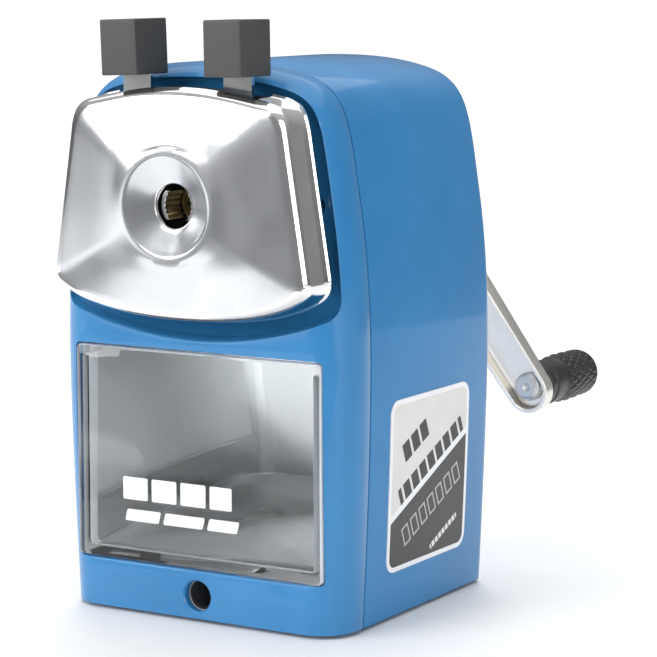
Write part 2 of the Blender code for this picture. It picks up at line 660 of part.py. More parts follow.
def carriage_hardware(carrier):
    for hand, side in (("left", -1), ("right", 1)):
        add(f"guide_rod_{hand}",
            turned([(ROD_FRONT - 1.1, 2.5), (ROD_FRONT - 0.8, 3.0), (ROD_FRONT, 3.0),
                    (ROD_FRONT, ROD_RADIUS), (ROD_REAR - 0.5, ROD_RADIUS),
                    (ROD_REAR, ROD_RADIUS - 0.5)], side * ROD_X, AXIS_Z, 16),
            "chrome", carrier)
        add(f"rod_clip_{hand}", tube(CLIP_FRONT, CLIP_REAR, ROD_RADIUS + 0.2, 3.5,
                                     side * ROD_X, AXIS_Z, 16), "spring_steel", carrier)
        add(f"plate_screw_{hand}",
            turned([(HOUSING_FRONT - 3.6, 1.1), (HOUSING_REAR + 0.2, 1.1),
                    (HOUSING_REAR + 0.2, 2.2), (HOUSING_REAR + 0.9, 2.0),
                    (HOUSING_REAR + 1.3, 1.2)], side * STUD_X, STUD_Z, 10), "steel", carrier)
        front = (LEVER_FRONT_LAYER if side < 0 else LEVER_REAR_LAYER)[0] - FIT
        add(f"pivot_pin_{hand}",
            turned([(front - 0.8, 2.0), (front - 0.5, 2.4), (front, 2.4), (front, 1.5),
                    (HOUSING_REAR - 0.3, 1.5)], side * LEVER_PIVOT_X, LEVER_PIVOT_Z, 12),
            "steel", carrier)


def coil(start, end, mean_radius, wire, turns, direction, centre, sides=4, per_turn=8):
    """A helical spring along X or Y, its wire swept round its axis."""
    rings = []
    steps = turns * per_turn
    length = end - start - 2 * wire
    for i in range(steps + 1):
        a = 2 * math.pi * i / per_turn
        along = start + wire + length * i / steps
        out = Vector((0.0, math.cos(a), math.sin(a)))
        ring = []
        for k in range(sides):
            b = 2 * math.pi * k / sides
            point = out * (mean_radius + wire * math.cos(b)) + Vector((wire * math.sin(b), 0, 0))
            point.x += along
            if direction == "Y":
                point = Vector((point.y, point.x, point.z))
            ring.append(point + centre)
        rings.append(ring)
    return loft(rings)


def springs(carriage):
    for hand, side in (("left", -1), ("right", 1)):
        add(f"feed_spring_{hand}",
            coil(FRAME_REAR + 3.0, CLIP_FRONT - 0.2, 2.95, 0.4, 8, "Y",
                 Vector((side * ROD_X, 0.0, AXIS_Z))), "spring_steel")
    reach = TAB_X - TAB_HALF - 0.3
    middle = (LEVER_FRONT_LAYER[0] + LEVER_REAR_LAYER[1]) / 2
    add("jaw_spring", coil(-reach, reach, 1.7, 0.3, 7, "X", Vector((0.0, middle, SPRING_Z))),
        "spring_steel", carriage)


def jaw_outline(side):
    """A jaw's section: a block whose inner face is a serrated arc round the pencil."""
    teeth = 6
    inner = []
    for i in range(2 * teeth + 1):
        a = math.radians(-44 + 88 * i / (2 * teeth))
        radius = JAW_ARC + (0.35 if i % 2 else 0.0)
        inner.append((JAW_GAP - JAW_ARC + radius * math.cos(a), AXIS_Z + radius * math.sin(a)))
    outer = JAW_GAP + JAW_DEPTH
    section = list(reversed(inner)) + [(outer, AXIS_Z - 2.9), (outer, AXIS_Z + 2.9)]
    return [(side * x, z) for x, z in section]


def lever(name, side, layer, carrier):
    """A jaw lever whose button is on one side of the pencil and whose jaw is on the other."""
    front, rear = layer
    tab = TAB_X
    outline = ([(-tab + TAB_HALF, TAB_TOP), (-tab - TAB_HALF, TAB_TOP), (-tab - TAB_HALF, 97.0)]
               + arc(0.0, AXIS_Z, LEVER_DISC, 158, 228, 6)
               + arc(-LEVER_PIVOT_X, LEVER_PIVOT_Z, LUG_RADIUS, 175, 345, 9)
               + arc(0.0, AXIS_Z, LEVER_DISC, 288, 465, 15)
               + [(-tab + TAB_HALF, 99.5)])
    outline = [(-side * x, z) for x, z in outline]
    made = add(name, prism(outline, front, rear), "chrome", carrier)

    slot_end, slot_half = 9.4, 4.8
    window = (arc(0.0, AXIS_Z, WINDOW_RADIUS, -142, 142, 20)
              + [(-slot_end, AXIS_Z + slot_half), (-slot_end, AXIS_Z - slot_half)])
    window = [(-side * x, z) for x, z in window]
    cut(made, "window", prism(window, front - 1.0, rear + 1.0))
    tongue = [(JAW_GAP + 1.0, AXIS_Z - 2.6), (WINDOW_RADIUS + 1.2, AXIS_Z - 2.6),
              (WINDOW_RADIUS + 1.2, AXIS_Z + 2.6), (JAW_GAP + 1.0, AXIS_Z + 2.6)]
    weld(made, "tongue", prism([(-side * x, z) for x, z in tongue], front + 0.01, rear - 0.01))
    weld(made, "jaw", prism(jaw_outline(-side), JAW_FRONT, rear - 0.02))
    cut(made, "pivot_hole", turned([(front - 1.0, 1.8), (rear + 1.0, 1.8)],
                                   side * LEVER_PIVOT_X, LEVER_PIVOT_Z, 12))


def button(name, side, layer, lean, carrier):
    """A rubber-like block pushed onto the lever's tab."""
    wide, deep, high = BUTTON_SIZE
    bm = bmesh.new()
    bmesh.ops.create_cube(bm, size=1.0)
    bmesh.ops.scale(bm, vec=BUTTON_SIZE, verts=bm.verts)
    bmesh.ops.bevel(bm, geom=bm.edges[:], offset=0.45, segments=2, profile=0.5, affect="EDGES")
    place = (Matrix.Translation((side * BUTTON_X, BUTTON_FRONT + deep / 2, BUTTON_LOW + high / 2))
             @ Matrix.Rotation(math.radians(lean), 4, "Y"))
    bmesh.ops.transform(bm, matrix=place, verts=bm.verts)
    made = add(name, bm, "button_plastic", carrier)
    gap = 0.3
    pocket = [(side * TAB_X - TAB_HALF - gap, BUTTON_LOW - 3.0),
              (side * TAB_X + TAB_HALF + gap, BUTTON_LOW - 3.0),
              (side * TAB_X + TAB_HALF + gap, TAB_TOP + gap),
              (side * TAB_X - TAB_HALF - gap, TAB_TOP + gap)]
    cut(made, "pocket", prism(pocket, layer[0] - gap, layer[1] + gap))


# ---------------------------------------------------------------- bearing frame and gears

def bearing_frame():
    outline = [p for p in body_curve(2.8) if p[1] > FRAME_BOTTOM]
    outline = [(outline[0][0], FRAME_BOTTOM)] + outline + [(outline[-1][0], FRAME_BOTTOM)]
    frame = add("bearing_frame", prism(outline, FRAME_FRONT, FRAME_REAR), "die_cast")
    weld(frame, "ring_seat", tube(FRAME_REAR - 0.6, -10.9, RING_SEAT, RING_SEAT + 1.5, count=36))
    cut(frame, "nose_bore", turned([(FRAME_FRONT - 1.0, BUSH_RADIUS + FIT),
                                    (FRAME_REAR + 1.0, BUSH_RADIUS + FIT)]))
    for side in (-1, 1):
        cut(frame, "guide_bore", turned([(FRAME_FRONT - 1.0, 3.6), (FRAME_REAR + 1.0, 3.6)],
                                        side * ROD_X, AXIS_Z, 16))
        for x, z in FRAME_SCREWS:
            cut(frame, "screw_bore", turned([(FRAME_FRONT - 1.0, 1.6), (FRAME_REAR + 1.0, 1.6)],
                                            side * x, z, 8))


def bushes():
    bore, body, flange = BUSH_BORE, BUSH_RADIUS, 7.4
    profile = [(-26.6, bore + 0.7), (-26.0, body - 0.2), (-24.6, body), (-24.6, flange),
               (-23.4, flange), (-23.4, body), (-18.3, body), (-18.3, bore), (-25.6, bore)]
    add("nose_bush", turned(profile, hollow=True), "brass")
    for hand, side in (("left", -1), ("right", 1)):
        profile = [(FRAME_FRONT, 2.3), (FRAME_FRONT, 3.3), (FRAME_REAR + 0.2, 3.3),
                   (FRAME_REAR + 0.2, 4.4), (FRAME_REAR + 1.6, 4.4), (FRAME_REAR + 1.6, 2.3)]
        add(f"guide_bush_{hand}", turned(profile, side * ROD_X, AXIS_Z, 16, hollow=True), "brass")


def teeth(count, root, tip, root_share, tip_share, turn=0.0):
    """A gear's outline. The shares are the parts of a pitch that a tooth takes at root and tip."""
    points = []
    pitch = 2 * math.pi / count
    for i in range(count):
        middle = i * pitch + turn
        for radius, offset in ((root, -root_share), (tip, -tip_share),
                               (tip, tip_share), (root, root_share)):
            a = middle + offset * pitch / 2
            points.append((radius * math.cos(a), radius * math.sin(a)))
    return points


PITCH_RADIUS = PINION_AT * math.tan(PINION_CONE)
RING_PITCH_RADIUS = PITCH_RADIUS * RING_TEETH / PINION_TEETH
RING_FROM_APEX = PINION_AT / math.cos(PINION_CONE) * math.cos(RING_CONE)


def ring_gear():
    middle = APEX_Y - RING_FROM_APEX
    inner = teeth(RING_TEETH, RING_PITCH_RADIUS + 0.95, RING_PITCH_RADIUS - 0.55, 0.68, 0.30,
                  math.pi / 2 + math.pi / RING_TEETH)
    outer = on_circle([(x, z + AXIS_Z) for x, z in inner], RING_SEAT - FIT)
    rings = []
    for y in (middle - PINION_FACE / 2, middle + PINION_FACE / 2):
        scale = (APEX_Y - y) / RING_FROM_APEX
        rings.append(at_y([(x * scale, AXIS_Z + z * scale) for x, z in inner], y))
    rings += [at_y(outer, middle + PINION_FACE / 2), at_y(outer, middle - PINION_FACE / 2)]
    add("ring_gear", loft(rings, loop=True), "die_cast")


# The cutter's own frame has its origin at the apex and its +Y axis towards the rear.
CUTTER_MATRIX = Matrix.Translation((0.0, APEX_Y, AXIS_Z)) @ Matrix.Rotation(-TILT, 4, "X")


def on_cutter(bm):
    """Carry a piece drawn about the Y axis through z = 0 onto the tilted cutter axis."""
    bmesh.ops.transform(bm, matrix=CUTTER_MATRIX, verts=bm.verts)
    return bm


def cutter_parts(carrier):
    rings = []
    sections = 9
    section = teeth(CUTTER_FLUTES, CUTTER_RADIUS - 0.85, CUTTER_RADIUS, 0.62, 0.16)
    for i in range(sections + 1):
        along = -CUTTER_FAR + (CUTTER_FAR - CUTTER_NEAR) * i / sections
        twist = (along + CUTTER_FAR) * math.tan(CUTTER_HELIX) / CUTTER_RADIUS
        c, s = math.cos(twist), math.sin(twist)
        rings.append(at_y([(x * c - z * s, x * s + z * c) for x, z in section], along))
    cutter = add("helical_cutter", on_cutter(loft(rings)), "spring_steel", carrier)
    cut(cutter, "cutter_bore", on_cutter(loft([at_y(circle(AXLE_BORE, 16), -CUTTER_FAR - 1.0),
                                               at_y(circle(AXLE_BORE, 16), -CUTTER_NEAR + 1.0)])))

    tooth = teeth(PINION_TEETH, PITCH_RADIUS - 0.85, PITCH_RADIUS + 0.55, 0.66, 0.22, math.pi / 2)
    count = len(tooth)
    rings = []
    for along in (PINION_AT + PINION_FACE / 2, PINION_AT - PINION_FACE / 2):
        scale = along / PINION_AT
        rings.append(at_y([(x * scale, z * scale) for x, z in tooth], -along))
    directions = [(x, z + AXIS_Z) for x, z in tooth]

    def ring(radius, along):
        return at_y([(x, z - AXIS_Z) for x, z in on_circle(directions, radius)], -along)

    hub_end = CUTTER_FAR + FIT
    rings += [ring(2.7, PINION_AT - PINION_FACE / 2), ring(2.7, hub_end), ring(AXLE_BORE, hub_end),
              ring(AXLE_BORE, PINION_AT + PINION_FACE / 2)]
    add("cutter_pinion", on_cutter(loft(rings, loop=True)), "steel", carrier)


def cutter_carrier(carrier):
    """Cage that carries the cutter round the pencil, in one piece with the crank shaft."""
    front, rear = CARRIER_FRONT, CARRIER_REAR
    cage = add("cutter_carrier", turned([(rear[0], CARRIER_RADIUS - 0.4),
                                         (rear[0] + 0.4, CARRIER_RADIUS),
                                         (rear[1], CARRIER_RADIUS), (rear[1], SHAFT_RADIUS),
                                         (SHAFT_REAR, SHAFT_RADIUS)]), "die_cast", carrier)
    weld(cage, "front_plate", tube(front[0], front[1], BUSH_RADIUS + FIT, CARRIER_RADIUS))
    for angle in (200, 270, 340):
        a = math.radians(angle)
        radial, across = Vector((math.cos(a), math.sin(a))), Vector((-math.sin(a), math.cos(a)))
        corners = [radial * r + across * w for r, w in ((9.4, -2.0), (12.4, -2.2),
                                                        (12.4, 2.2), (9.4, 2.0))]
        bar = [(p.x, p.y + AXIS_Z) for p in corners]
        weld(cage, "bar", prism(bar, front[1] - 0.8, rear[0] + 0.8))
    bore = loft([at_y(circle(AXLE_BORE, 16), -AXLE_FAR - 3.0),
                 at_y(circle(AXLE_BORE, 16), -AXLE_NEAR + FIT)])
    cut(cage, "axle_bore", on_cutter(bore))
    axle = loft([at_y(circle(AXLE_RADIUS, 16), -AXLE_FAR),
                 at_y(circle(AXLE_RADIUS, 16), -AXLE_NEAR)])
    add("cutter_axle", on_cutter(axle), "chrome", carrier)


# ---------------------------------------------------------------- rear and crank

def rear_collar():
    profile = [(COLLAR_FRONT, COLLAR_BORE), (COLLAR_FRONT, COLLAR_RADIUS),
               (BODY_REAR + FIT, COLLAR_RADIUS), (BODY_REAR + FIT, COLLAR_FLANGE),
               (COLLAR_REAR - 0.8, COLLAR_FLANGE), (COLLAR_REAR, COLLAR_FLANGE - 0.8),
               (COLLAR_REAR, COLLAR_BORE)]
    add("rear_collar", turned(profile, count=36, hollow=True), "black_plastic")


def bayonet_cap():
    skirt, wall, back = COLLAR_BORE - 0.4, 1.6, CAP_REAR - 3.5
    profile = [(CAP_FRONT + 1.0, skirt - wall), (CAP_FRONT + 1.0, skirt), (CAP_GRIP_FRONT, skirt),
               (CAP_GRIP_FRONT, CAP_GRIP), (CAP_REAR - 1.2, CAP_GRIP), (CAP_REAR, CAP_GRIP - 1.4),
               (CAP_REAR, 8.0), (CAP_REAR - 0.8, 7.4), (CAP_REAR - 0.8, SHAFT_BORE),
               (CAP_FRONT, SHAFT_BORE), (CAP_FRONT, 6.0), (back, 6.0), (back, skirt - wall)]
    cap = add("bayonet_cap", turned(profile, count=32, hollow=True), "black_plastic")
    for i in range(CAP_FLUTES):
        a = 2 * math.pi * (i + 0.5) / CAP_FLUTES
        cut(cap, "grip_flute", turned([(CAP_GRIP_FRONT + 0.5, 1.5), (CAP_REAR + 1.0, 1.5)],
                                      (CAP_GRIP + 0.6) * math.cos(a),
                                      AXIS_Z + (CAP_GRIP + 0.6) * math.sin(a), 8))


def along_arm(distance):
    """A point on the crank's centre line, measured from the crank axis."""
    return (distance * math.sin(ARM_ANGLE), AXIS_Z - distance * math.cos(ARM_ANGLE))


def arm_outline(inset):
    """Two unequal end circles joined by their outer tangents, counter-clockwise."""
    hub, end = ARM_HUB_RADIUS - inset, ARM_END_RADIUS - inset
    heading = math.degrees(ARM_ANGLE) - 90.0
    lean = math.degrees(math.acos((hub - end) / ARM_LENGTH))
    return (arc(*along_arm(ARM_LENGTH), end, heading - lean, heading + lean, 9)
            + arc(*along_arm(0.0), hub, heading + lean, heading + 360.0 - lean, 9))


def arm_rim(inset, back=0.0):
    """A ring on the sloping front rim of the channel, which is deepest at the hub."""
    ring = []
    for x, z in arm_outline(inset):
        share = (x * math.sin(ARM_ANGLE) - (z - AXIS_Z) * math.cos(ARM_ANGLE)) / ARM_LENGTH
        depth = ARM_HUB_DEPTH + (ARM_END_DEPTH - ARM_HUB_DEPTH) * share
        ring.append((x, ARM_REAR - depth + back, z))
    return ring


def crank_arm(carrier):
    floor = ARM_REAR - ARM_WEB
    rings = [at_y(arm_outline(ARM_WALL + 1.0), floor), at_y(arm_outline(ARM_WALL + 0.35), floor - 0.2),
             at_y(arm_outline(ARM_WALL + 0.1), floor - 0.8), arm_rim(ARM_WALL),
             arm_rim(0.1), arm_rim(0.0, 0.3),
             at_y(arm_outline(0.0), ARM_REAR - 0.9), at_y(arm_outline(0.3), ARM_REAR - 0.25),
             at_y(arm_outline(1.0), ARM_REAR)]
    arm = add("crank_arm", loft(rings), "chrome", carrier)
    cut(arm, "shaft_hole", turned([(ARM_REAR - 3.0, SHAFT_BORE), (ARM_REAR + 1.0, SHAFT_BORE)]))
    cut(arm, "pin_hole", turned([(ARM_REAR - 3.0, KNOB_PIN + FIT), (ARM_REAR + 1.0, KNOB_PIN + FIT)],
                                KNOB_X, KNOB_Z, 20))


def crank_fittings(carrier):
    front, rear = CAP_REAR + FIT, ARM_REAR - 1.5
    add("crank_hub", turned([(front, SHAFT_BORE), (front, 7.0), (front + 3.7, 6.6),
                             (front + 7.2, 4.3), (rear, 4.0), (rear, SHAFT_BORE)], hollow=True),
        "black_plastic", carrier)
    hexagon = circle(NUT_RADIUS, 6, 0.0, AXIS_Z)
    top = ARM_REAR + NUT_HIGH
    nut = add("crank_nut", loft([at_y(hexagon, ARM_REAR + FIT), at_y(hexagon, top - 1.0),
                                 at_y(towards_axis(hexagon, 0.72), top)]),
              "chrome", carrier)
    cut(nut, "thread", turned([(ARM_REAR - 1.0, SHAFT_BORE), (SHAFT_REAR + FIT, SHAFT_BORE)],
                              count=24))
    head_rear = ARM_REAR - ARM_WEB - FIT
    add("knob_pin", turned([(head_rear - 1.8, PIN_HEAD - 0.8), (head_rear - 1.3, PIN_HEAD),
                            (head_rear, PIN_HEAD), (head_rear, KNOB_PIN), (PIN_REAR, KNOB_PIN)],
                           KNOB_X, KNOB_Z, 20), "steel", carrier)


def crank_knob(carrier):
    bore, bore_end = KNOB_PIN + FIT, PIN_REAR + 1.0
    front, rear, grip = KNOB_FRONT, KNOB_REAR, KNOB_RADIUS
    neck = [(front, 4.5), (front + 0.3, 4.95), (front + 2.2, 4.95), (front + 2.5, 4.6),
            (front + 2.9, 4.6), (front + 3.2, 5.0), (front + 5.0, 5.0), (front + 8.4, 4.8)]
    bulge = [(front + 9.2, grip - 0.1), (front + 11.5, grip), (front + 16.5, grip - 0.25),
             (rear - 3.2, grip - 0.6), (rear - 1.3, grip - 1.1), (rear - 0.4, grip - 1.8),
             (rear, grip - 2.6)]
    inside = [(bore_end, bore), (front, bore)]
    add("crank_knob", turned(inside + neck + bulge, KNOB_X, KNOB_Z, 22), "knob_plastic", carrier)


# ---------------------------------------------------------------- assembly

def clear_scene():
    for old in list(bpy.data.objects):
        bpy.data.objects.remove(old, do_unlink=True)


def build():
    clear_scene()
    drawer = joint_frame("drawer_slide", (0.0, BODY_FRONT, DRAWER_LOW))
    carriage = joint_frame("face_slide", (0.0, HOUSING_REAR, AXIS_Z))
    left = joint_frame("left_lever_axis", (-LEVER_PIVOT_X, LEVER_FRONT_LAYER[0], LEVER_PIVOT_Z),
                       parent=carriage)
    right = joint_frame("right_lever_axis", (LEVER_PIVOT_X, LEVER_REAR_LAYER[0], LEVER_PIVOT_Z),
                        parent=carriage)
    crank = joint_frame("crank_axis", (0.0, BODY_REAR, AXIS_Z))
    knob = joint_frame("knob_axis", (KNOB_X, KNOB_FRONT, KNOB_Z), parent=crank)
    cutter = joint_frame("cutter_axis", (0.0, APEX_Y, AXIS_Z),
                         Matrix.Rotation(-TILT, 3, "X"), parent=crank)

    front_bezel()
    main_case()
    base_plate()
    feet()
    drawer_rail()
    clamp_socket()
    body_screws()
    side_label()
    bearing_frame()
    bushes()
    ring_gear()
    rear_collar()
    bayonet_cap()

    shavings_drawer(drawer)

    face_plate(carriage)
    jaw_housing(carriage)
    carriage_hardware(carriage)
    springs(carriage)
    lever("left_lever", -1, LEVER_FRONT_LAYER, left)
    lever("right_lever", 1, LEVER_REAR_LAYER, right)
    button("left_button", -1, LEVER_FRONT_LAYER, LEFT_BUTTON_LEAN, left)
    button("right_button", 1, LEVER_REAR_LAYER, RIGHT_BUTTON_LEAN, right)

    cutter_carrier(crank)
    crank_arm(crank)
    crank_fittings(crank)
    crank_knob(knob)
    cutter_parts(cutter)


build()
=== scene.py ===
"""Looks of the crank pencil sharpener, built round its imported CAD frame.

Pieces are drawn in millimetres about the centre of the body's footprint, and ORIGIN and MM carry
them into the frame. Lengths along Y are named front and rear, so front < rear.
"""

import math

import bmesh
import bpy
from mathutils import Matrix, Vector


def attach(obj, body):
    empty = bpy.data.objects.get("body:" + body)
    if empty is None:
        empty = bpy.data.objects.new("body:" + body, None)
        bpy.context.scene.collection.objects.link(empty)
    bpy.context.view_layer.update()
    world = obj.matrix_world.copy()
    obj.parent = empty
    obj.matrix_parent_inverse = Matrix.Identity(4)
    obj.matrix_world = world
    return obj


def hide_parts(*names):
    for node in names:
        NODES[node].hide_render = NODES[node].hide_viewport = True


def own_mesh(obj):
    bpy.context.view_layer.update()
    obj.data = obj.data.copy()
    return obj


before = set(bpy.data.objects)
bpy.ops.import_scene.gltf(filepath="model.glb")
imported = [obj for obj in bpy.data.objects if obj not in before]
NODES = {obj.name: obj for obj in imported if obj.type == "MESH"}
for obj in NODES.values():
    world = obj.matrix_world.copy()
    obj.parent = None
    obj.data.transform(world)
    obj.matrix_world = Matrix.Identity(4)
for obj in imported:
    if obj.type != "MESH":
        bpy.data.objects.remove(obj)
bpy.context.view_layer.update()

MM = 0.001
ORIGIN = Vector((1.85, 18.5, 0.0))

# Body
BODY_FRONT, SEAM, BODY_REAR = -30.5, -20.2, 31.7
BODY_BOTTOM, BODY_TOP = 0.8, 111.8
BEZEL_CORNER, BEZEL_TOP_SHARE, BEZEL_TOP_SLOPE, BEZEL_WALL = 8.0, 0.75, 0.9, 1.8
CASE_CORNER, CASE_WALL, SEAM_CHAMFER, FIT = 4.2, 1.4, 0.35, 0.3
RECESS_FLOOR, RECESS_FLOOR_REAR, RECESS_LIP = -25.0, -23.4, 1.8
RECESS_BOTTOM, RECESS_RISE, RECESS_TOP_SHARE = 57.3, 4.7, 1.5
AXIS_Z = 84.3
HANDS = (("left", -1), ("right", 1))
UNDER = -5.0                    # openings in the shells are cut from well below the base plate
ROD_X, ROD_HOLE, NOSE_HOLE = 24.0, 3.0, 8.0

# Drawer
DRAWER_HALF, DRAWER_LOW, DRAWER_HIGH, DRAWER_REAR = 29.0, 11.0, 54.5, 24.0
DRAWER_WALL, DRAWER_FRONT_THICK, DRAWER_CORNER = 1.5, 2.0, 8.0
DRAWER_EDGE = 5.0               # depth of the strips round the front panel that get the painted edge highlight

# Face plate
PLATE_EDGE, PLATE_PEAK, PLATE_MOUTH, PLATE_RIM_REAR = -36.6, -40.0, -37.0, -28.4
PLATE_FLARE, PLATE_THICK = 1.4, 0.8
MOUTH_RADIUS, DISH_RADIUS = 4.35, 10.0
FEED_SPRING_FRONT, FEED_SPRING_REAR, FEED_SPRING_RADIUS, FEED_SPRING_WIRE = -17.6, 24.0, 2.95, 0.4
JAW_SPRING_REACH, JAW_SPRING_RADIUS, JAW_SPRING_WIRE, JAW_SPRING_KEEP = 7.75, 1.7, 0.3, 0.6
JAW_SPRING_Y, JAW_SPRING_Z = -31.6, 101.0
BUTTON_X, BUTTON_FRONT, BUTTON_LOW, TAB_X, TAB_HALF = 12.05, -38.0, 109.4, 11.3, 3.25

# Crank
ARM_ANGLE, CRANK_RADIUS, ARM_LENGTH = math.radians(36.0), 55.8, 56.7
ARM_REAR, ARM_END_DEPTH, ARM_HUB_DEPTH, ARM_WALL, ARM_WEB = 53.0, 4.0, 5.8, 0.9, 1.0
ARM_HUB_RADIUS, ARM_END_RADIUS = 5.7, 4.88
KNOB_X = CRANK_RADIUS * math.sin(ARM_ANGLE)
KNOB_Z = AXIS_Z - CRANK_RADIUS * math.cos(ARM_ANGLE)
KNOB_FRONT, KNOB_REAR, KNOB_RADIUS = 53.4, 77.0, 5.4
KNOB_PIN, PIN_HEAD, PIN_REAR = 1.7, 3.1, 71.0
NUT_RADIUS, NUT_HIGH = 4.6, 4.0
SHAFT_BORE, SHAFT_REAR = 3.3, 55.4
COLLAR_BORE, COLLAR_RADIUS, COLLAR_FLANGE, COLLAR_FRONT, COLLAR_REAR = 16.5, 18.4, 21.0, 20.0, 34.5
CAP_FRONT, CAP_GRIP_FRONT, CAP_REAR, CAP_GRIP, CAP_FLUTES = 22.0, 34.8, 39.0, 18.2, 8

# Underside
BASE_HIGH = 1.6
CLAMP_Z, CLAMP_HOLE = 5.35, 3.1
FEET = ((23.5, -21.0), (23.5, 22.5))
CASE_SCREW_X, CASE_SCREW_Z, CASE_SCREW_HOLE, CASE_BOSS_FRONT = 20.0, 6.8, 1.7, 20.0

# Label
LABEL_FRONT, LABEL_REAR, LABEL_LOW, LABEL_HIGH = -12.4, 20.2, 10.0, 45.1
LABEL_CORNER, LABEL_THICK = 3.0, 0.2
LABEL_LINE_Z, LABEL_LINE_RISE, LABEL_LINE_RUN = 19.7, 14.6, 32.0

# Studio, with the camera's place and the room's brightness
CAMERA_LENS, CAMERA_AZIMUTH, CAMERA_PITCH, CAMERA_ROLL = 141.2, 31.136, 7.955, -0.15
CAMERA_PLACE = (0.2832, -0.4479, 0.1299)
HORIZON, ZENITH, BACKDROP, FLOOR_RADIUS = 0.13, 0.62, 1.05, 2600.0


# -------------------- plane curves

def bezier(a, b, c, d, steps, last=False):
    points = []
    for i in range(steps + (1 if last else 0)):
        t = i / steps
        s = 1.0 - t
        points.append(tuple(s**3 * a[k] + 3 * s * s * t * b[k] + 3 * s * t * t * c[k] + t**3 * d[k]
                            for k in (0, 1)))
    return points


def arc(cx, cz, radius, start, end, steps):
    points = []
    for i in range(steps + 1):
        a = math.radians(start + (end - start) * i / steps)
        points.append((cx + radius * math.cos(a), cz + radius * math.sin(a)))
    return points


def rounded_box(x0, x1, z0, z1, radius, steps=8):
    return (arc(x1 - radius, z0 + radius, radius, -90, 0, steps)
            + arc(x1 - radius, z1 - radius, radius, 0, 90, steps)
            + arc(x0 + radius, z1 - radius, radius, 90, 180, steps)
            + arc(x0 + radius, z0 + radius, radius, 180, 270, steps))


def mirrored(half):
    return half + [(-x, z) for x, z in reversed(half) if x > 1e-6]


def body_half():
    side = bezier((32.7, BODY_BOTTOM), (33.6, 18.0), (34.5, 38.0), (34.5, 54.0), 14)
    shoulder = bezier((34.5, 54.0), (34.5, 63.0), (34.0, 74.0), (32.4, 84.0), 9)
    corner = bezier((32.4, 84.0), (29.8, 100.1), (29.8, 106.6), (20.0, 109.5), 22)
    top = bezier((20.0, 109.5), (13.0, 111.5), (6.0, BODY_TOP), (0.0, BODY_TOP), 8, last=True)
    return side + shoulder + corner + top


def body_curve(inset=0.0, top_share=1.0):
    points = mirrored(body_half())
    moved = []
    for i, (x, z) in enumerate(points):
        before, after = points[max(i - 1, 0)], points[min(i + 1, len(points) - 1)]
        tangent = Vector((after[0] - before[0], after[1] - before[1])).normalized()
        normal = Vector((tangent.y, -tangent.x))
        if i in (0, len(points) - 1):
            normal = Vector((math.copysign(1.0, x), 0.0))
        share = top_share + (1.0 - top_share) * abs(normal.x)
        moved.append((x - normal.x * inset * share, z - normal.y * inset * share))
    return moved


def lowered(points, drop):
    """The upper part of an outline brought down, by drop at the very top."""
    return [(x, z - drop * max(0.0, z - AXIS_Z) / (BODY_TOP - AXIS_Z)) for x, z in points]


def half_width(z):
    points = [p for p in body_half() if p[1] <= 100.0]
    for (xa, za), (xb, zb) in zip(points, points[1:]):
        if za <= z <= zb:
            return xa + (xb - xa) * (z - za) / (zb - za)
    return points[0][0]


def plate_outline():
    right = (bezier((0.0, 62.3), (12.0, 62.3), (22.0, 64.0), (27.4, 67.3), 24)
             + bezier((27.4, 67.3), (29.0, 68.2), (29.8, 69.0), (29.4, 71.2), 10)
             + bezier((29.4, 71.2), (28.4, 77.5), (25.9, 93.0), (25.0, 98.7), 18)
             + bezier((25.0, 98.7), (24.4, 102.0), (23.4, 103.6), (20.6, 104.2), 12)
             + bezier((20.6, 104.2), (15.0, 105.2), (9.0, 106.8), (0.0, 106.8), 16, last=True))
    return right + [(-x, z) for x, z in reversed(right[1:-1])]


def outset(loop, distance):
    moved = []
    for i, point in enumerate(loop):
        before, after = Vector(loop[i - 1]), Vector(loop[(i + 1) % len(loop)])
        here = Vector(point)
        first, second = (here - before).normalized(), (after - here).normalized()
        tangent = (first + second).normalized()
        stretch = 1.0 / max(tangent.dot(first), 0.5)
        moved.append((here.x + tangent.y * distance * stretch,
                      here.y - tangent.x * distance * stretch))
    return moved


def circle(radius, count, cx=0.0, cz=0.0):
    return arc(cx, cz, radius, 0, 360, count)[:-1]


def quarter(steps):
    """How far a rounded edge lies back from its two flat sides, from the first to the second."""
    turns = (math.pi / 2 * i / steps for i in range(steps + 1))
    return [(1 - math.sin(a), 1 - math.cos(a)) for a in turns]


# -------------------- solids

def loft(rings, loop=False, marks=None, bm=None):
    """Skin over rings of equally many points. marks gives a material index for each gap."""
    bm = bm or bmesh.new()
    rows = [[bm.verts.new(p) for p in ring] for ring in rings]
    pairs = list(zip(rows, rows[1:]))
    if loop:
        pairs.append((rows[-1], rows[0]))
    for k, (low, high) in enumerate(pairs):
        for i in range(len(low)):
            j = (i + 1) % len(low)
            face = bm.faces.new((low[i], low[j], high[j], high[i]))
            if marks:
                face.material_index = marks[k % len(marks)]
    if not loop:
        bm.faces.new(list(reversed(rows[0])))
        bm.faces.new(rows[-1])
    return bm


def at_y(points, y):
    return [(x, y, z) for x, z in points]


def at_z(points, z):
    return [(x, y, z) for x, y in points]


def prism(outline, front, rear):
    return loft([at_y(outline, front), at_y(outline, rear)])


def slab(outline, low, high):
    return loft([at_z(outline, z) for z in (low, high)])


def turned(profile, cx=0.0, cz=AXIS_Z, count=64, hollow=False):
    return loft([at_y(circle(r, count, cx, cz), y) for y, r in profile], loop=hollow)


def upright(profile, x, y):
    return loft([at_z(circle(r, 40, x, y), z) for z, r in profile])


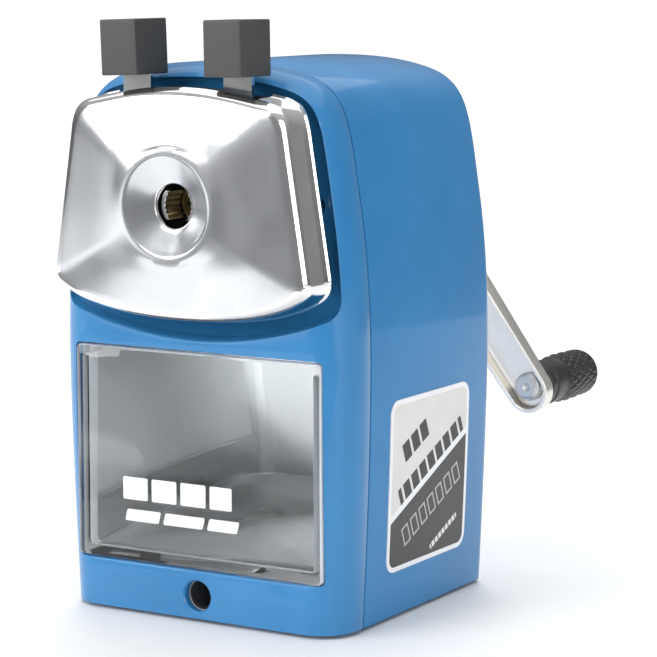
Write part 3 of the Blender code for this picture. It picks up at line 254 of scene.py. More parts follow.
def rounded(profile, reach, steps=3):
    """A closed or open profile with its corners rounded, for turned pieces."""
    out = []
    count = len(profile)
    for i, here in enumerate(profile):
        here = Vector(here)
        before, after = Vector(profile[i - 1]), Vector(profile[(i + 1) % count])
        a, b = before - here, after - here
        cutback = min(reach, a.length * 0.4, b.length * 0.4)
        if cutback < 1e-4 or abs(a.normalized().dot(b.normalized())) > 0.985:
            out.append(tuple(here))
            continue
        start, end = here + a.normalized() * cutback, here + b.normalized() * cutback
        for k in range(steps + 1):
            t = k / steps
            out.append(tuple(start * (1 - t) ** 2 + here * 2 * t * (1 - t) + end * t**2))
    return out


# -------------------- node trees

def operation(name):
    """A method that works out a net and a second value with a Math node of that kind."""
    def work_out(net, *others):
        node = net.tree.nodes.new("ShaderNodeMath")
        node.operation = name
        for slot, value in zip(node.inputs, (net, *others)):
            if isinstance(value, Net):
                net.tree.links.new(value.socket, slot)
            else:
                slot.default_value = value
        return Net(net.tree, node.outputs[0])
    return work_out


class Net:
    """A socket in a material's node tree that can be added, multiplied and mixed like a number."""
    __add__, __sub__ = operation("ADD"), operation("SUBTRACT")
    __mul__, __truediv__ = operation("MULTIPLY"), operation("DIVIDE")
    top, low = operation("MAXIMUM"), operation("MINIMUM")
    absolute, fraction, root = operation("ABSOLUTE"), operation("FRACT"), operation("SQRT")

    def __init__(self, tree, socket):
        self.tree, self.socket = tree, socket

    def hypot(self, other):
        return (self * self + other * other).root()

    def between(self, low, high, out_low=0.0, out_high=1.0):
        """Smooth ramp from out_low at low to out_high at high."""
        node = self.tree.nodes.new("ShaderNodeMapRange")
        node.interpolation_type = "SMOOTHSTEP"
        self.tree.links.new(self.socket, node.inputs["Value"])
        for name, value in (("From Min", low), ("From Max", high),
                            ("To Min", out_low), ("To Max", out_high)):
            node.inputs[name].default_value = value
        return Net(self.tree, node.outputs["Result"])


class Look:
    """A procedural material in the frame's own coordinates, in millimetres."""

    def __init__(self, name):
        self.material = bpy.data.materials.new(name)
        self.material.use_nodes = True
        self.tree = self.material.node_tree
        self.shader = self.tree.nodes["Principled BSDF"]
        place = self.tree.nodes.new("ShaderNodeTexCoord")
        scaled = self.tree.nodes.new("ShaderNodeVectorMath")
        scaled.operation = "MULTIPLY_ADD"
        self.tree.links.new(place.outputs["Object"], scaled.inputs[0])
        scaled.inputs[1].default_value = (1 / MM,) * 3
        scaled.inputs[2].default_value = ORIGIN
        self.place = scaled.outputs[0]
        split = self.tree.nodes.new("ShaderNodeSeparateXYZ")
        self.tree.links.new(self.place, split.inputs[0])
        self.x, self.y, self.z = (Net(self.tree, s) for s in split.outputs)
        self.height = None

    def noise(self, size, detail=3.0, stretch=(1.0, 1.0, 1.0), roughness=0.5):
        """Noise from 0 to 1 whose grains are about size millimetres across."""
        mapped = self.tree.nodes.new("ShaderNodeVectorMath")
        mapped.operation = "MULTIPLY"
        self.tree.links.new(self.place, mapped.inputs[0])
        mapped.inputs[1].default_value = tuple(1.0 / (size * s) for s in stretch)
        node = self.tree.nodes.new("ShaderNodeTexNoise")
        self.tree.links.new(mapped.outputs[0], node.inputs["Vector"])
        node.inputs["Scale"].default_value = 1.0
        node.inputs["Detail"].default_value = detail
        node.inputs["Roughness"].default_value = roughness
        return Net(self.tree, node.outputs["Fac"])

    def mix(self, a, b, factor):
        """Colour a where factor is 0, b where it is 1. Each is a colour or a mix made before."""
        node = self.tree.nodes.new("ShaderNodeMix")
        node.data_type = "RGBA"
        if isinstance(factor, Net):
            self.tree.links.new(factor.socket, node.inputs[0])
        else:
            node.inputs[0].default_value = factor
        for slot, value in ((node.inputs[6], a), (node.inputs[7], b)):
            if isinstance(value, tuple):
                slot.default_value = (*value, 1.0)
            else:
                self.tree.links.new(value, slot)
        return node.outputs[2]

    def set(self, **values):
        """Constants go on the shader's sockets, nets are linked to them."""
        for name, value in values.items():
            socket = self.shader.inputs[name.replace("_", " ")]
            if isinstance(value, Net):
                self.tree.links.new(value.socket, socket)
            elif isinstance(value, bpy.types.NodeSocket):
                self.tree.links.new(value, socket)
            elif isinstance(value, tuple):
                socket.default_value = (*value, 1.0)
            else:
                socket.default_value = value
        return self

    def bump(self, net, depth):
        """Relief of that many millimetres."""
        node = self.tree.nodes.new("ShaderNodeBump")
        node.inputs["Strength"].default_value = 1.0
        node.inputs["Distance"].default_value = depth * MM
        self.tree.links.new(net.socket, node.inputs["Height"])
        if self.height:
            self.tree.links.new(self.height, node.inputs["Normal"])
        self.height = node.outputs["Normal"]
        self.tree.links.new(self.height, self.shader.inputs["Normal"])
        return self


def shades(colour, low, high):
    return tuple(c * low for c in colour), tuple(min(c * high, 1.0) for c in colour)


def metal(name, colour, roughness, spread=0.08, brushed=None, relief=0.004, grime=0.0, **more):
    """Bare or plated metal: cloudy roughness, fine scratches and a little grime."""
    look = Look(name)
    dark, light = shades(colour, 0.93, 1.04)
    cloud = look.noise(9.0, 4.0)
    tone = look.mix(dark, light, cloud.between(0.3, 0.7))
    if grime:
        patches = look.noise(5.0, 6.0, roughness=0.65).between(0.55, 0.75) * grime
        tone = look.mix(tone, tuple(c * 0.45 for c in colour), patches)
    scratches = look.noise(0.5, 4.0, brushed or (1.0, 1.0, 1.0))
    look.set(**{"Base_Color": tone, "Metallic": 1.0, **more},
             Roughness=cloud * (spread * 0.6) + scratches * spread + (roughness - spread * 0.8))
    return look.bump(scratches, relief).material


def plastic(name, colour, roughness, grain=0.35, relief=0.01, spread=0.1, **more):
    """Moulded plastic or rubber: fine grain, worn and dusty patches."""
    look = Look(name)
    dark, light = shades(colour, 0.8, 1.2)
    cloud = look.noise(7.0, 5.0)
    fine = look.noise(grain, 3.0)
    look.set(Base_Color=look.mix(dark, light, cloud * 0.6 + fine * 0.4),
             Roughness=cloud * spread + fine * (spread * 0.5) + (roughness - spread * 0.75), **more)
    return look.bump(fine, relief).material


# -------------------- materials

def blue_paint():
    look = Look("blue_paint_gloss")
    cloud = look.noise(22.0, 3.0)
    peel = look.noise(1.6, 2.0)
    dust = look.noise(0.28, 2.0).between(0.70, 0.80)
    tone = look.mix((0.030, 0.200, 0.450), (0.037, 0.226, 0.495), cloud.between(0.3, 0.7))
    tone = look.mix(tone, (0.20, 0.34, 0.50), dust * 0.25)
    look.set(Base_Color=tone, Roughness=cloud * 0.10 + dust * 0.08 + 0.27,
             Specular_IOR_Level=0.25, Coat_Weight=0.6, Coat_Roughness=0.045, Coat_IOR=1.42)
    return look.bump(peel, 0.006).material


def inner_primer():
    look = Look("inner_primer")
    cloud = look.noise(12.0, 4.0)
    fine = look.noise(0.7, 3.0)
    look.set(Base_Color=look.mix((0.74, 0.75, 0.76), (0.82, 0.83, 0.84), cloud),
             Roughness=fine * 0.2 + 0.4)
    return look.bump(fine, 0.008).material


def clear_acrylic():
    look = Look("clear_acrylic")
    cloud = look.noise(14.0, 4.0)
    scuffs = look.noise(0.4, 4.0, (1.0, 1.0, 6.0)).between(0.62, 0.8)
    look.set(Base_Color=look.mix((0.93, 0.955, 0.96), (0.97, 0.985, 0.985), cloud),
             Roughness=scuffs * 0.05 + 0.015, Transmission_Weight=1.0, IOR=1.49)
    look.bump(look.noise(9.0, 2.0), 0.02)
    # Light from the lamps passes through to what lies behind.
    add, link = look.tree.nodes.new, look.tree.links.new
    rays, through = add("ShaderNodeLightPath"), add("ShaderNodeBsdfTransparent")
    both = add("ShaderNodeMixShader")
    link(rays.outputs["Is Shadow Ray"], both.inputs[0])
    link(look.shader.outputs[0], both.inputs[1])
    link(through.outputs[0], both.inputs[2])
    link(both.outputs[0], look.tree.nodes["Material Output"].inputs["Surface"])
    return look.material


def clear_edge_highlight():
    """Edges of the clear plastic, coloured near white as a painted highlight for the light that they
    gather.
    """
    look = Look("acrylic_edge_painted_highlight")
    cloud = look.noise(5.0, 4.0)
    fine = look.noise(0.5, 3.0)
    look.set(Base_Color=look.mix((0.84, 0.88, 0.92), (0.95, 0.97, 0.98), cloud),
             Roughness=fine * 0.2 + 0.25, Transmission_Weight=0.25, IOR=1.49)
    return look.bump(fine, 0.01).material


def box_distance(look, cy, cz, half_y, half_z, radius, slope=0.0):
    """Distance in millimetres from a rounded box on the side wall, negative inside it."""
    c, s = math.cos(slope), math.sin(slope)
    y, z = look.y - cy, look.z - cz
    along, across = y * c + z * s, z * c - y * s
    a = along.absolute() - (half_y - radius)
    b = across.absolute() - (half_z - radius)
    return a.top(0.0).hypot(b.top(0.0)) + a.top(b).low(0.0) - radius


def printed_label():
    """White-edged label, pale above its slanted line and dark below, with plain bars for print."""
    look = Look("printed_label")
    slope = math.atan2(LABEL_LINE_RISE, LABEL_LINE_RUN)
    middle_y, middle_z = (LABEL_FRONT + LABEL_REAR) / 2, (LABEL_LOW + LABEL_HIGH) / 2
    edge = box_distance(look, middle_y, middle_z, (LABEL_REAR - LABEL_FRONT) / 2,
                        (LABEL_HIGH - LABEL_LOW) / 2, LABEL_CORNER)
    rise = (look.z - LABEL_LINE_Z) * math.cos(slope) - (look.y - LABEL_FRONT) * math.sin(slope)
    cloud = look.noise(6.0, 4.0)
    pale = look.mix((0.70, 0.69, 0.66), (0.80, 0.79, 0.76), cloud)
    dark = look.mix((0.045, 0.043, 0.042), (0.065, 0.062, 0.060), cloud)
    white = (0.90, 0.91, 0.93)
    tone = look.mix(dark, pale, rise.between(-0.05, 0.05))

    def row(cy, cz, half_y, half_z, pitch, gap):
        """Bar split into equal blocks along the slanted line."""
        whole = box_distance(look, cy, cz, half_y, half_z, 0.5, slope)
        along = (look.y - cy) * math.cos(slope) + (look.z - cz) * math.sin(slope)
        slits = ((along / pitch + 50.5).fraction() - 0.5).absolute() * pitch
        return whole.top(slits - (pitch - gap) / 2)

    for cy, cz, half_y, half_z, pitch in ((-2.2, 35.9, 5.6, 2.0, 3.73),
                                          (4.6, 30.6, 14.0, 2.0, 3.5)):
        tone = look.mix(tone, (0.035, 0.033, 0.032),
                        row(cy, cz, half_y, half_z, pitch, 0.8).between(0.06, -0.06))
    hollow = (row(5.2, 21.6, 13.0, 2.1, 3.7, 0.9) + 0.22).absolute() - 0.2
    tone = look.mix(tone, (0.50, 0.50, 0.49), hollow.between(0.06, -0.06))
    tone = look.mix(tone, (0.80, 0.80, 0.79),
                    row(10.8, 14.8, 6.0, 0.6, 1.5, 0.35).between(0.06, -0.06))
    tone = look.mix(tone, white, (rise - 0.65).absolute().between(0.70, 0.60))
    tone = look.mix(tone, white, edge.between(-1.05, -0.95))
    look.set(Base_Color=tone, Roughness=cloud * 0.12 + 0.26, Specular_IOR_Level=0.25,
             Coat_Weight=0.2, Coat_Roughness=0.12)
    return look.bump(look.noise(0.9, 3.0), 0.004).material


def pale_floor():
    look = Look("studio_floor")
    cloud = look.noise(60.0, 3.0)
    look.set(Base_Color=look.mix((0.86, 0.865, 0.87), (0.89, 0.893, 0.895), cloud),
             Roughness=cloud * 0.1 + 0.5)
    return look.material


PAINT = blue_paint()
PRIMER = inner_primer()
SATIN = metal("satin_silver", (0.71, 0.722, 0.742), 0.23, 0.06, (1.0, 1.0, 14.0), 0.0015)
BRIGHT = metal("bright_rim", (0.86, 0.86, 0.85), 0.10, 0.05, (1.0, 1.0, 20.0), 0.0010)
NICKEL = metal("satin_nickel", (0.88, 0.85, 0.79), 0.30, 0.08, (6.0, 1.0, 6.0), 0.002, 0.1,
               Metallic=0.9)
CHROME = metal("chrome_plate", (0.84, 0.84, 0.83), 0.13, 0.07, (6.0, 1.0, 6.0), 0.0015, 0.15)
ZINC = metal("zinc_plate", (0.58, 0.59, 0.60), 0.34, 0.14, (1.0, 8.0, 1.0), 0.004, 0.35)
SPRING = metal("spring_steel_wire", (0.42, 0.43, 0.45), 0.30, 0.12, None, 0.003, 0.3)
BRASS = metal("turned_brass", (0.70, 0.53, 0.24), 0.28, 0.12, (1.0, 0.2, 1.0), 0.003, 0.3)
CAST = metal("die_casting", (0.42, 0.43, 0.44), 0.50, 0.16, None, 0.02, 0.4)
CUTTER = metal("ground_cutter_steel", (0.50, 0.50, 0.50), 0.24, 0.12, (1.0, 6.0, 1.0), 0.003, 0.3)
BLACK = plastic("black_moulding", (0.028, 0.028, 0.029), 0.40, 0.4, 0.012)
BUTTON = plastic("button_rubber", (0.058, 0.057, 0.056), 0.50, 0.25, 0.010, 0.14)
KNOB = plastic("knob_moulding", (0.020, 0.023, 0.021), 0.40, 0.3, 0.010)
RUBBER = plastic("foot_rubber", (0.022, 0.022, 0.022), 0.80, 0.5, 0.03)
PRINT = plastic("white_print", (0.86, 0.87, 0.88), 0.45, 0.5, 0.004)
CLEAR = clear_acrylic()
# Painted highlight: a near-white colour for the clear plastic's edges and rim, standing in for the
# light they gather.
EDGE_HIGHLIGHT = clear_edge_highlight()
LABEL = printed_label()
FLOOR = pale_floor()
CARD = plastic("grey_card", (0.18, 0.182, 0.186), 0.8)


# -------------------- objects

def place(name, data):
    placed = bpy.data.objects.new(name, data)
    bpy.context.scene.collection.objects.link(placed)
    return placed


def smooth(mesh, sharp):
    mesh.shade_smooth()
    mesh.set_sharp_from_angle(angle=math.radians(sharp))


def make(name, bm, materials, body, *nodes, slot=None, sharp=32.0):
    """A finished piece in the frame that rides on a body and stands for CAD nodes."""
    bmesh.ops.recalc_face_normals(bm, faces=bm.faces)
    bmesh.ops.translate(bm, vec=-ORIGIN, verts=bm.verts)
    bmesh.ops.scale(bm, vec=(MM,) * 3, verts=bm.verts)
    mesh = bpy.data.meshes.new(name)
    bm.to_mesh(mesh)
    bm.free()
    smooth(mesh, sharp)
    piece = place(name, mesh)
    for material in materials if isinstance(materials, tuple) else (materials,):
        mesh.materials.append(material)
    if body:
        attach(piece, body)
    if nodes:
        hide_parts(*nodes)
    return piece


def carve(piece, bm, operation="DIFFERENCE", sharp=32.0):
    """Cut a shape out of a piece, or weld it on, for good."""
    tool = make("tool", bm, (), None)
    modifier = piece.modifiers.new("carve", "BOOLEAN")
    modifier.object, modifier.operation, modifier.solver = tool, operation, "EXACT"
    graph = bpy.context.evaluated_depsgraph_get()
    mesh = bpy.data.meshes.new_from_object(piece.evaluated_get(graph))
    piece.modifiers.clear()
    old, piece.data = piece.data, mesh
    mesh.name = piece.name
    bpy.data.meshes.remove(old)
    bpy.data.objects.remove(tool)
    smooth(mesh, sharp)


def bore(piece, radius, front, rear, x=0.0, z=AXIS_Z, count=64):
    """Cut a straight round hole along Y."""
    carve(piece, turned([(front, radius), (rear, radius)], x, z, count))


def paint_second(piece, test):
    """Give faces whose centre and normal pass the test the second of the piece's materials."""
    for face in piece.data.polygons:
        centre = face.center / MM + ORIGIN
        if test(centre, face.normal):
            face.material_index = 1


# -------------------- body shell

def recess_ring(inset, lift):
    def arc_z(x):
        return RECESS_BOTTOM + lift + RECESS_RISE * (x / 28.0) ** 2

    corner_z = arc_z(28.0) + 1.5
    wide = half_width(corner_z + 3.5) - inset
    upper = [p for p, (_, z) in zip(body_curve(inset, RECESS_TOP_SHARE), body_curve()) if z > 72.0]
    corner = bezier((wide - 4.0, arc_z(wide - 4.0)), (wide - 1.2, arc_z(wide - 2.0)),
                    (wide, corner_z), (wide, corner_z + 3.5), 12, last=True)
    left = [(-x, z) for x, z in reversed(corner)]
    low = [(x, arc_z(x)) for x in ((wide - 4.0) * k / 16.0 for k in range(-15, 16))]
    return corner + upper + left + low


def open_below(curve):
    return [*curve, (curve[-1][0], UNDER), (curve[0][0], UNDER)]


def front_bezel():
    rings = [(BODY_FRONT + BEZEL_CORNER * back, BEZEL_CORNER * inset)
             for back, inset in reversed(quarter(14)[1:])]
    rings += [(BODY_FRONT + BEZEL_CORNER, 0.0), (SEAM - SEAM_CHAMFER, 0.0),
              (SEAM - 0.1, 0.12), (SEAM, SEAM_CHAMFER)]
    skin = [at_y(lowered(body_curve(inset, BEZEL_TOP_SHARE), inset * BEZEL_TOP_SLOPE), y)
            for y, inset in rings]
    bezel = make("bezel_shell", loft(skin), (PAINT, PRIMER), "body", "front_bezel",
                 slot="blue_paint")
    half, round_in = 31.1, BEZEL_CORNER - 1.6
    centre_x, centre_y = half - round_in, BODY_FRONT + BEZEL_WALL + round_in
    plan = (arc(centre_x, centre_y, round_in, -90, 0, 10)
            + [(half, SEAM + 2.0), (-half, SEAM + 2.0)]
            + arc(-centre_x, centre_y, round_in, 180, 270, 10))
    carve(bezel, slab(plan, UNDER, DRAWER_HIGH + 1.1))
    carve(bezel, prism(open_below(body_curve(BEZEL_WALL)), RECESS_FLOOR_REAR, SEAM + 2.0))

    flare = ((BODY_FRONT - 2.0, 0.45), (BODY_FRONT - 0.02, 0.45), (BODY_FRONT + 0.12, 0.2),
             (BODY_FRONT + 0.4, 0.0), (SEAM + 1.0, 0.0))
    carve(bezel, loft([at_y(rounded_box(-DRAWER_HALF - 0.4 - f, DRAWER_HALF + 0.4 + f,
                                        DRAWER_LOW - 0.4 - f, DRAWER_HIGH + 0.4 + f, 1.2 + f), y)
                       for y, f in flare]))

    # The mouth of the recess flares, so its edge is rounded over, and its floor ends in a fillet.
    steps = [(-34.0, -1.1, -0.8), (-30.6, -1.1, -0.8), (-30.45, -0.6, -0.42), (-30.2, -0.28, -0.2),
             (-29.8, -0.08, -0.06), (-29.2, 0.0, 0.04)]
    fillet = 3.2
    steps += [(RECESS_FLOOR - fillet * back, fillet * inset, 0.3 + (fillet + 1.0) * inset)
              for back, inset in quarter(11)]
    carve(bezel, loft([at_y(recess_ring(RECESS_LIP + more, lift), y) for y, more, lift in steps]))

    countersink = ((-1.0, 0.9), (-0.02, 0.75), (0.12, 0.3), (0.5, 0.0), (4.0, 0.0))
    carve(bezel, turned([(BODY_FRONT + back, CLAMP_HOLE + more) for back, more in countersink],
                        0.0, CLAMP_Z))
    bore(bezel, NOSE_HOLE, RECESS_FLOOR - 2.0, SEAM)
    for side in (-1, 1):
        bore(bezel, ROD_HOLE, RECESS_FLOOR - 2.0, SEAM, side * ROD_X, count=32)
    paint_second(bezel, lambda c, n: c.y > BODY_FRONT + 0.6 and n.y > 0.5 and c.y < SEAM - 1.0)


def main_case():
    front = SEAM + FIT
    rings = [(front, SEAM_CHAMFER), (front + 0.1, 0.12), (front + SEAM_CHAMFER, 0.0)]
    rings += [(BODY_REAR - CASE_CORNER * back, CASE_CORNER * inset) for back, inset in quarter(12)]
    case = make("case_shell", loft([at_y(body_curve(inset), y) for y, inset in rings]),
                (PAINT, PRIMER), "body", "main_case", slot="blue_paint")
    inner, snug = (open_below(body_curve(inset)) for inset in (CASE_WALL, CASE_CORNER))
    carve(case, loft([at_y(inner, front - 2.0), at_y(inner, BODY_REAR - CASE_CORNER),
                      at_y(snug, BODY_REAR - CASE_WALL)]))
    bore(case, COLLAR_RADIUS + FIT, BODY_REAR - 4.0, BODY_REAR + 2.0)
    for side in (-1, 1):
        bore(case, CASE_SCREW_HOLE, BODY_REAR - 4.0, BODY_REAR + 2.0, side * CASE_SCREW_X,
             CASE_SCREW_Z, 24)

    def is_inside(c, n):
        return c.x * n.x + (c.z - 55.0) * n.z < -0.5 or (n.y < -0.5 and c.y > 0.0)

    paint_second(case, is_inside)


def side_label():
    heights = {LABEL_LOW, LABEL_HIGH}
    for _, share in quarter(11)[1:]:
        drop = LABEL_CORNER * share
        heights |= {LABEL_LOW + drop, LABEL_HIGH - drop}
    heights |= {z for _, z in body_half() if LABEL_LOW < z < LABEL_HIGH}
    rings = []
    for z in sorted(heights):
        up = min(z - LABEL_LOW, LABEL_HIGH - z, LABEL_CORNER)
        pull = LABEL_CORNER - math.sqrt(LABEL_CORNER**2 - (LABEL_CORNER - up) ** 2)
        x = half_width(z) + 0.02
        front, rear = LABEL_FRONT + pull, LABEL_REAR - pull
        rings.append([(x, front, z), (x + LABEL_THICK, front, z),
                      (x + LABEL_THICK, rear, z), (x, rear, z)])
    make("label_sheet", loft(rings), LABEL, "body", "side_label", slot="label")


# -------------------- drawer

def drawer_plan(half, front, rear, corner):
    """The tray from above, with a point on each side where its strip of painted edge highlight ends.
    """
    strip = BODY_FRONT + DRAWER_EDGE
    return (arc(half - corner, rear - corner, corner, 0, 90, 14)
            + arc(-half + corner, rear - corner, corner, 90, 180, 14)
            + [(-half, strip), (-half, front), (half, front), (half, strip)])


def shavings_drawer():
    side, r = DRAWER_HALF - 0.8, DRAWER_CORNER
    back_of_front = BODY_FRONT + DRAWER_FRONT_THICK
    rim = DRAWER_HIGH - 2.5
    shell = [(DRAWER_LOW, 0.5), (DRAWER_LOW + 0.15, 0.15), (DRAWER_LOW + 0.5, 0.0),
             (rim - 0.3, 0.0), (rim, 0.3)]
    walls = [at_z(drawer_plan(side - i, back_of_front - 0.5, DRAWER_REAR - i, r - i), z)
             for z, i in shell]
    tray = make("drawer_tray", loft(walls), (CLEAR, EDGE_HIGHLIGHT), "drawer", "shavings_drawer",
                slot="clear_plastic")
    front = rounded_box(-DRAWER_HALF, DRAWER_HALF, DRAWER_LOW, DRAWER_HIGH, 0.9, 6)
    carve(tray, loft([at_y(outset(front, -0.45), BODY_FRONT),
                      at_y(outset(front, -0.13), BODY_FRONT + 0.13),
                      at_y(front, BODY_FRONT + 0.45), at_y(front, back_of_front - 0.2),
                      at_y(outset(front, -0.2), back_of_front)]), "UNION")
    floor_z = DRAWER_LOW + 1.7
    hollow = [(floor_z, 1.2), (floor_z + 0.35, 0.35), (floor_z + 1.2, 0.0),
              (DRAWER_HIGH + 5.0, 0.0)]
    carve(tray, loft([at_z(drawer_plan(side - DRAWER_WALL - i, back_of_front + i,
                                       DRAWER_REAR - DRAWER_WALL - i, r - DRAWER_WALL - i), z)
                      for z, i in hollow]))

    # Faces across the front panel's edge and on top of the rim get the painted edge highlight.
    def is_edge(c, n):
        across = abs(n.y) < 0.6
        in_front = c.y < BODY_FRONT + DRAWER_EDGE and across
        return in_front or (c.z > rim - 0.4 and n.z > 0.5)

    paint_second(tray, is_edge)

    # Plain squares over slanted bars stand for the print on the drawer's front.
    bm = bmesh.new()
    squares = ((-17.6, -11.6), (-10.6, -4.6), (-3.6, 2.4), (3.4, 8.6))
    bars = ((-17.2, -9.0), (-7.9, 1.6), (2.7, 9.8))
    for row, z0, z1, lean in ((squares, 23.6, 28.2, 0.0), (bars, 19.2, 21.6, 0.25)):
        for x0, x1 in row:
            outline = [(x + (z - z0) * lean, z) for x, z in rounded_box(x0, x1, z0, z1, 0.35, 3)]
            loft([at_y(outline, BODY_FRONT + out) for out in (-0.06, 0.02)], bm=bm)
    make("drawer_print", bm, PRINT, "drawer", slot="label")


# -------------------- face plate

def plate_front(share):
    return PLATE_EDGE + (PLATE_PEAK - PLATE_EDGE) * (1.0 - share) / 0.62


def face_plate():
    outline = plate_outline()
    t = PLATE_THICK

    def dish_blend(share, weight, radius):
        """Outline shrunk towards the axis and drawn towards a circle."""
        points = []
        for x, z in outline:
            dx, dz = x, z - AXIS_Z
            length = math.hypot(dx, dz)
            points.append((dx * share * (1 - weight) + dx / length * radius * weight,
                           AXIS_Z + dz * share * (1 - weight) + dz / length * radius * weight))
        return points

    rings, marks = [], []

    def ring(points, y, mark):
        rings.append(at_y(points, y))
        marks.append(mark)

    # Bright flank from its rear lip to the bevel, then the satin front down into the mouth.
    flank = [(PLATE_FLARE - 0.15, PLATE_RIM_REAR), (PLATE_FLARE, PLATE_RIM_REAR - 0.15),
             (PLATE_FLARE, PLATE_RIM_REAR - 0.8), (PLATE_FLARE - 0.35, PLATE_RIM_REAR - 1.1),
             (PLATE_FLARE - 0.5, PLATE_RIM_REAR - 1.3), (0.62, PLATE_EDGE + 2.2),
             (0.55, PLATE_EDGE + 1.35), (0.42, PLATE_EDGE + 1.05), (-0.45, PLATE_EDGE + 0.12),
             (-0.75, PLATE_EDGE - 0.02)]
    for out, y in flank:
        ring(outset(outline, out), y, 1)
    for k in range(11):
        share = 0.945 - 0.045 * k
        weight = max(0.0, (0.62 - share) / 0.17) ** 1.6 if share < 0.62 else 0.0
        ring(dish_blend(share, min(weight, 1.0) * 0.9, DISH_RADIUS + 2.2), plate_front(share), 0)
    for out, back in ((1.3, 0.10), (0.7, 0.02), (0.25, 0.0), (-0.1, 0.02), (-0.4, 0.16),
                      (-0.8, 0.42)):
        ring(dish_blend(0.0, 1.0, DISH_RADIUS + out), PLATE_PEAK + back, 0)
    inner, depth = MOUTH_RADIUS + 0.5, PLATE_MOUTH - 0.12
    start_r, start_y = DISH_RADIUS - 0.8, PLATE_PEAK + 0.42
    for k in range(1, 8):
        share = k / 7.0
        ring(dish_blend(0.0, 1.0, start_r + (inner - start_r) * share),
             start_y + (depth - start_y) * share, 0)
    for out, back in ((0.2, -0.02), (0.04, 0.15), (0.0, 0.4), (0.0, t)):
        ring(dish_blend(0.0, 1.0, MOUTH_RADIUS + out), PLATE_MOUTH + back, 1)
    ring(dish_blend(0.0, 1.0, DISH_RADIUS - 0.6), PLATE_PEAK + t + 0.45, 1)
    for share in (0.56, 0.8):
        ring(dish_blend(share, 0.0, 0.0), plate_front(share) + t, 1)
    for out, y in ((-0.5 - t, PLATE_EDGE + t + 0.3), (0.55 - t, PLATE_EDGE + 2.2 + t),
                   (PLATE_FLARE - t, PLATE_RIM_REAR)):
        ring(outset(outline, out), y, 1)
    plate = make("plate_shell", loft(rings, loop=True, marks=marks), (SATIN, BRIGHT),
                 "face_carriage", "face_plate", slot="satin_steel", sharp=38.0)
    notch = rounded_box(-18.0, 18.0, 99.0, 113.0, 2.0)
    carve(plate, prism(notch, PLATE_EDGE + 1.3, PLATE_RIM_REAR + 2.0), sharp=38.0)


def button(hand, side, lean, layer):
    wide, deep, high = 8.5, 10.8, 10.88
    bm = bmesh.new()
    bmesh.ops.create_cube(bm, size=1.0)
    bmesh.ops.scale(bm, vec=(wide, deep, high), verts=bm.verts)
    bmesh.ops.bevel(bm, geom=bm.edges[:], offset=0.42, segments=4, profile=0.6, affect="EDGES")
    middle = (side * BUTTON_X, BUTTON_FRONT + deep / 2, BUTTON_LOW + high / 2)
    seat = Matrix.Translation(middle) @ Matrix.Rotation(math.radians(lean), 4, "Y")
    bmesh.ops.transform(bm, matrix=seat, verts=bm.verts)
    made = make(f"button_cap_{hand}", bm, BUTTON, f"{hand}_lever_body", f"{hand}_button",
                slot="button_plastic")
    left, right = side * TAB_X - TAB_HALF - FIT, side * TAB_X + TAB_HALF + FIT
    carve(made, prism([(left, 106.0), (right, 106.0), (right, 112.3), (left, 112.3)],
                      layer[0] - FIT, layer[1] + FIT))


# -------------------- rear and crank

def rear_parts():
    profile = [(COLLAR_FRONT, COLLAR_BORE), (COLLAR_FRONT, COLLAR_RADIUS),
               (BODY_REAR + FIT, COLLAR_RADIUS), (BODY_REAR + FIT, COLLAR_FLANGE),
               (COLLAR_REAR - 0.8, COLLAR_FLANGE), (COLLAR_REAR, COLLAR_FLANGE - 0.8),
               (COLLAR_REAR, COLLAR_BORE)]
    make("collar_ring", turned(rounded(profile, 0.4), count=96, hollow=True), BLACK, "body",
         "rear_collar", slot="black_plastic")
    skirt, wall, back = COLLAR_BORE - 0.4, 1.6, CAP_REAR - 3.5
    profile = [(CAP_FRONT + 1.0, skirt - wall), (CAP_FRONT + 1.0, skirt), (CAP_GRIP_FRONT, skirt),
               (CAP_GRIP_FRONT, CAP_GRIP), (CAP_REAR - 1.2, CAP_GRIP), (CAP_REAR, CAP_GRIP - 1.4),
               (CAP_REAR, 15.2), (CAP_REAR - 0.5, 14.8), (CAP_REAR - 0.5, 9.0), (CAP_REAR, 8.6),
               (CAP_REAR, 8.0), (CAP_REAR - 0.8, 7.4), (CAP_REAR - 0.8, SHAFT_BORE),
               (CAP_FRONT, SHAFT_BORE), (CAP_FRONT, 6.0), (back, 6.0), (back, skirt - wall)]
    cap = make("cap_cover", turned(rounded(profile, 0.35), count=96, hollow=True), BLACK, "body",
               "bayonet_cap", slot="black_plastic")
    for i in range(CAP_FLUTES):
        a = 2 * math.pi * (i + 0.5) / CAP_FLUTES
        carve(cap, turned([(CAP_GRIP_FRONT + 0.5, 1.5), (CAP_REAR + 1.0, 1.6)],
                          (CAP_GRIP + 0.6) * math.cos(a), AXIS_Z + (CAP_GRIP + 0.6) * math.sin(a), 24))


def along_arm(distance):
    return (distance * math.sin(ARM_ANGLE), AXIS_Z - distance * math.cos(ARM_ANGLE))


def arm_outline(inset):
    hub, end = ARM_HUB_RADIUS - inset, ARM_END_RADIUS - inset
    heading = math.degrees(ARM_ANGLE) - 90.0
    lean = math.degrees(math.acos((hub - end) / ARM_LENGTH))
    return (arc(*along_arm(ARM_LENGTH), end, heading - lean, heading + lean, 28)
            + arc(*along_arm(0.0), hub, heading + lean, heading + 360.0 - lean, 28))


def arm_rim(inset, back):
    """A ring on the sloping front rim of the channel, which is deepest at the hub."""
    ring = []
    for x, z in arm_outline(inset):
        share = (x * math.sin(ARM_ANGLE) - (z - AXIS_Z) * math.cos(ARM_ANGLE)) / ARM_LENGTH
        depth = ARM_HUB_DEPTH + (ARM_END_DEPTH - ARM_HUB_DEPTH) * share
        ring.append((x, ARM_REAR - depth + back, z))
    return ring


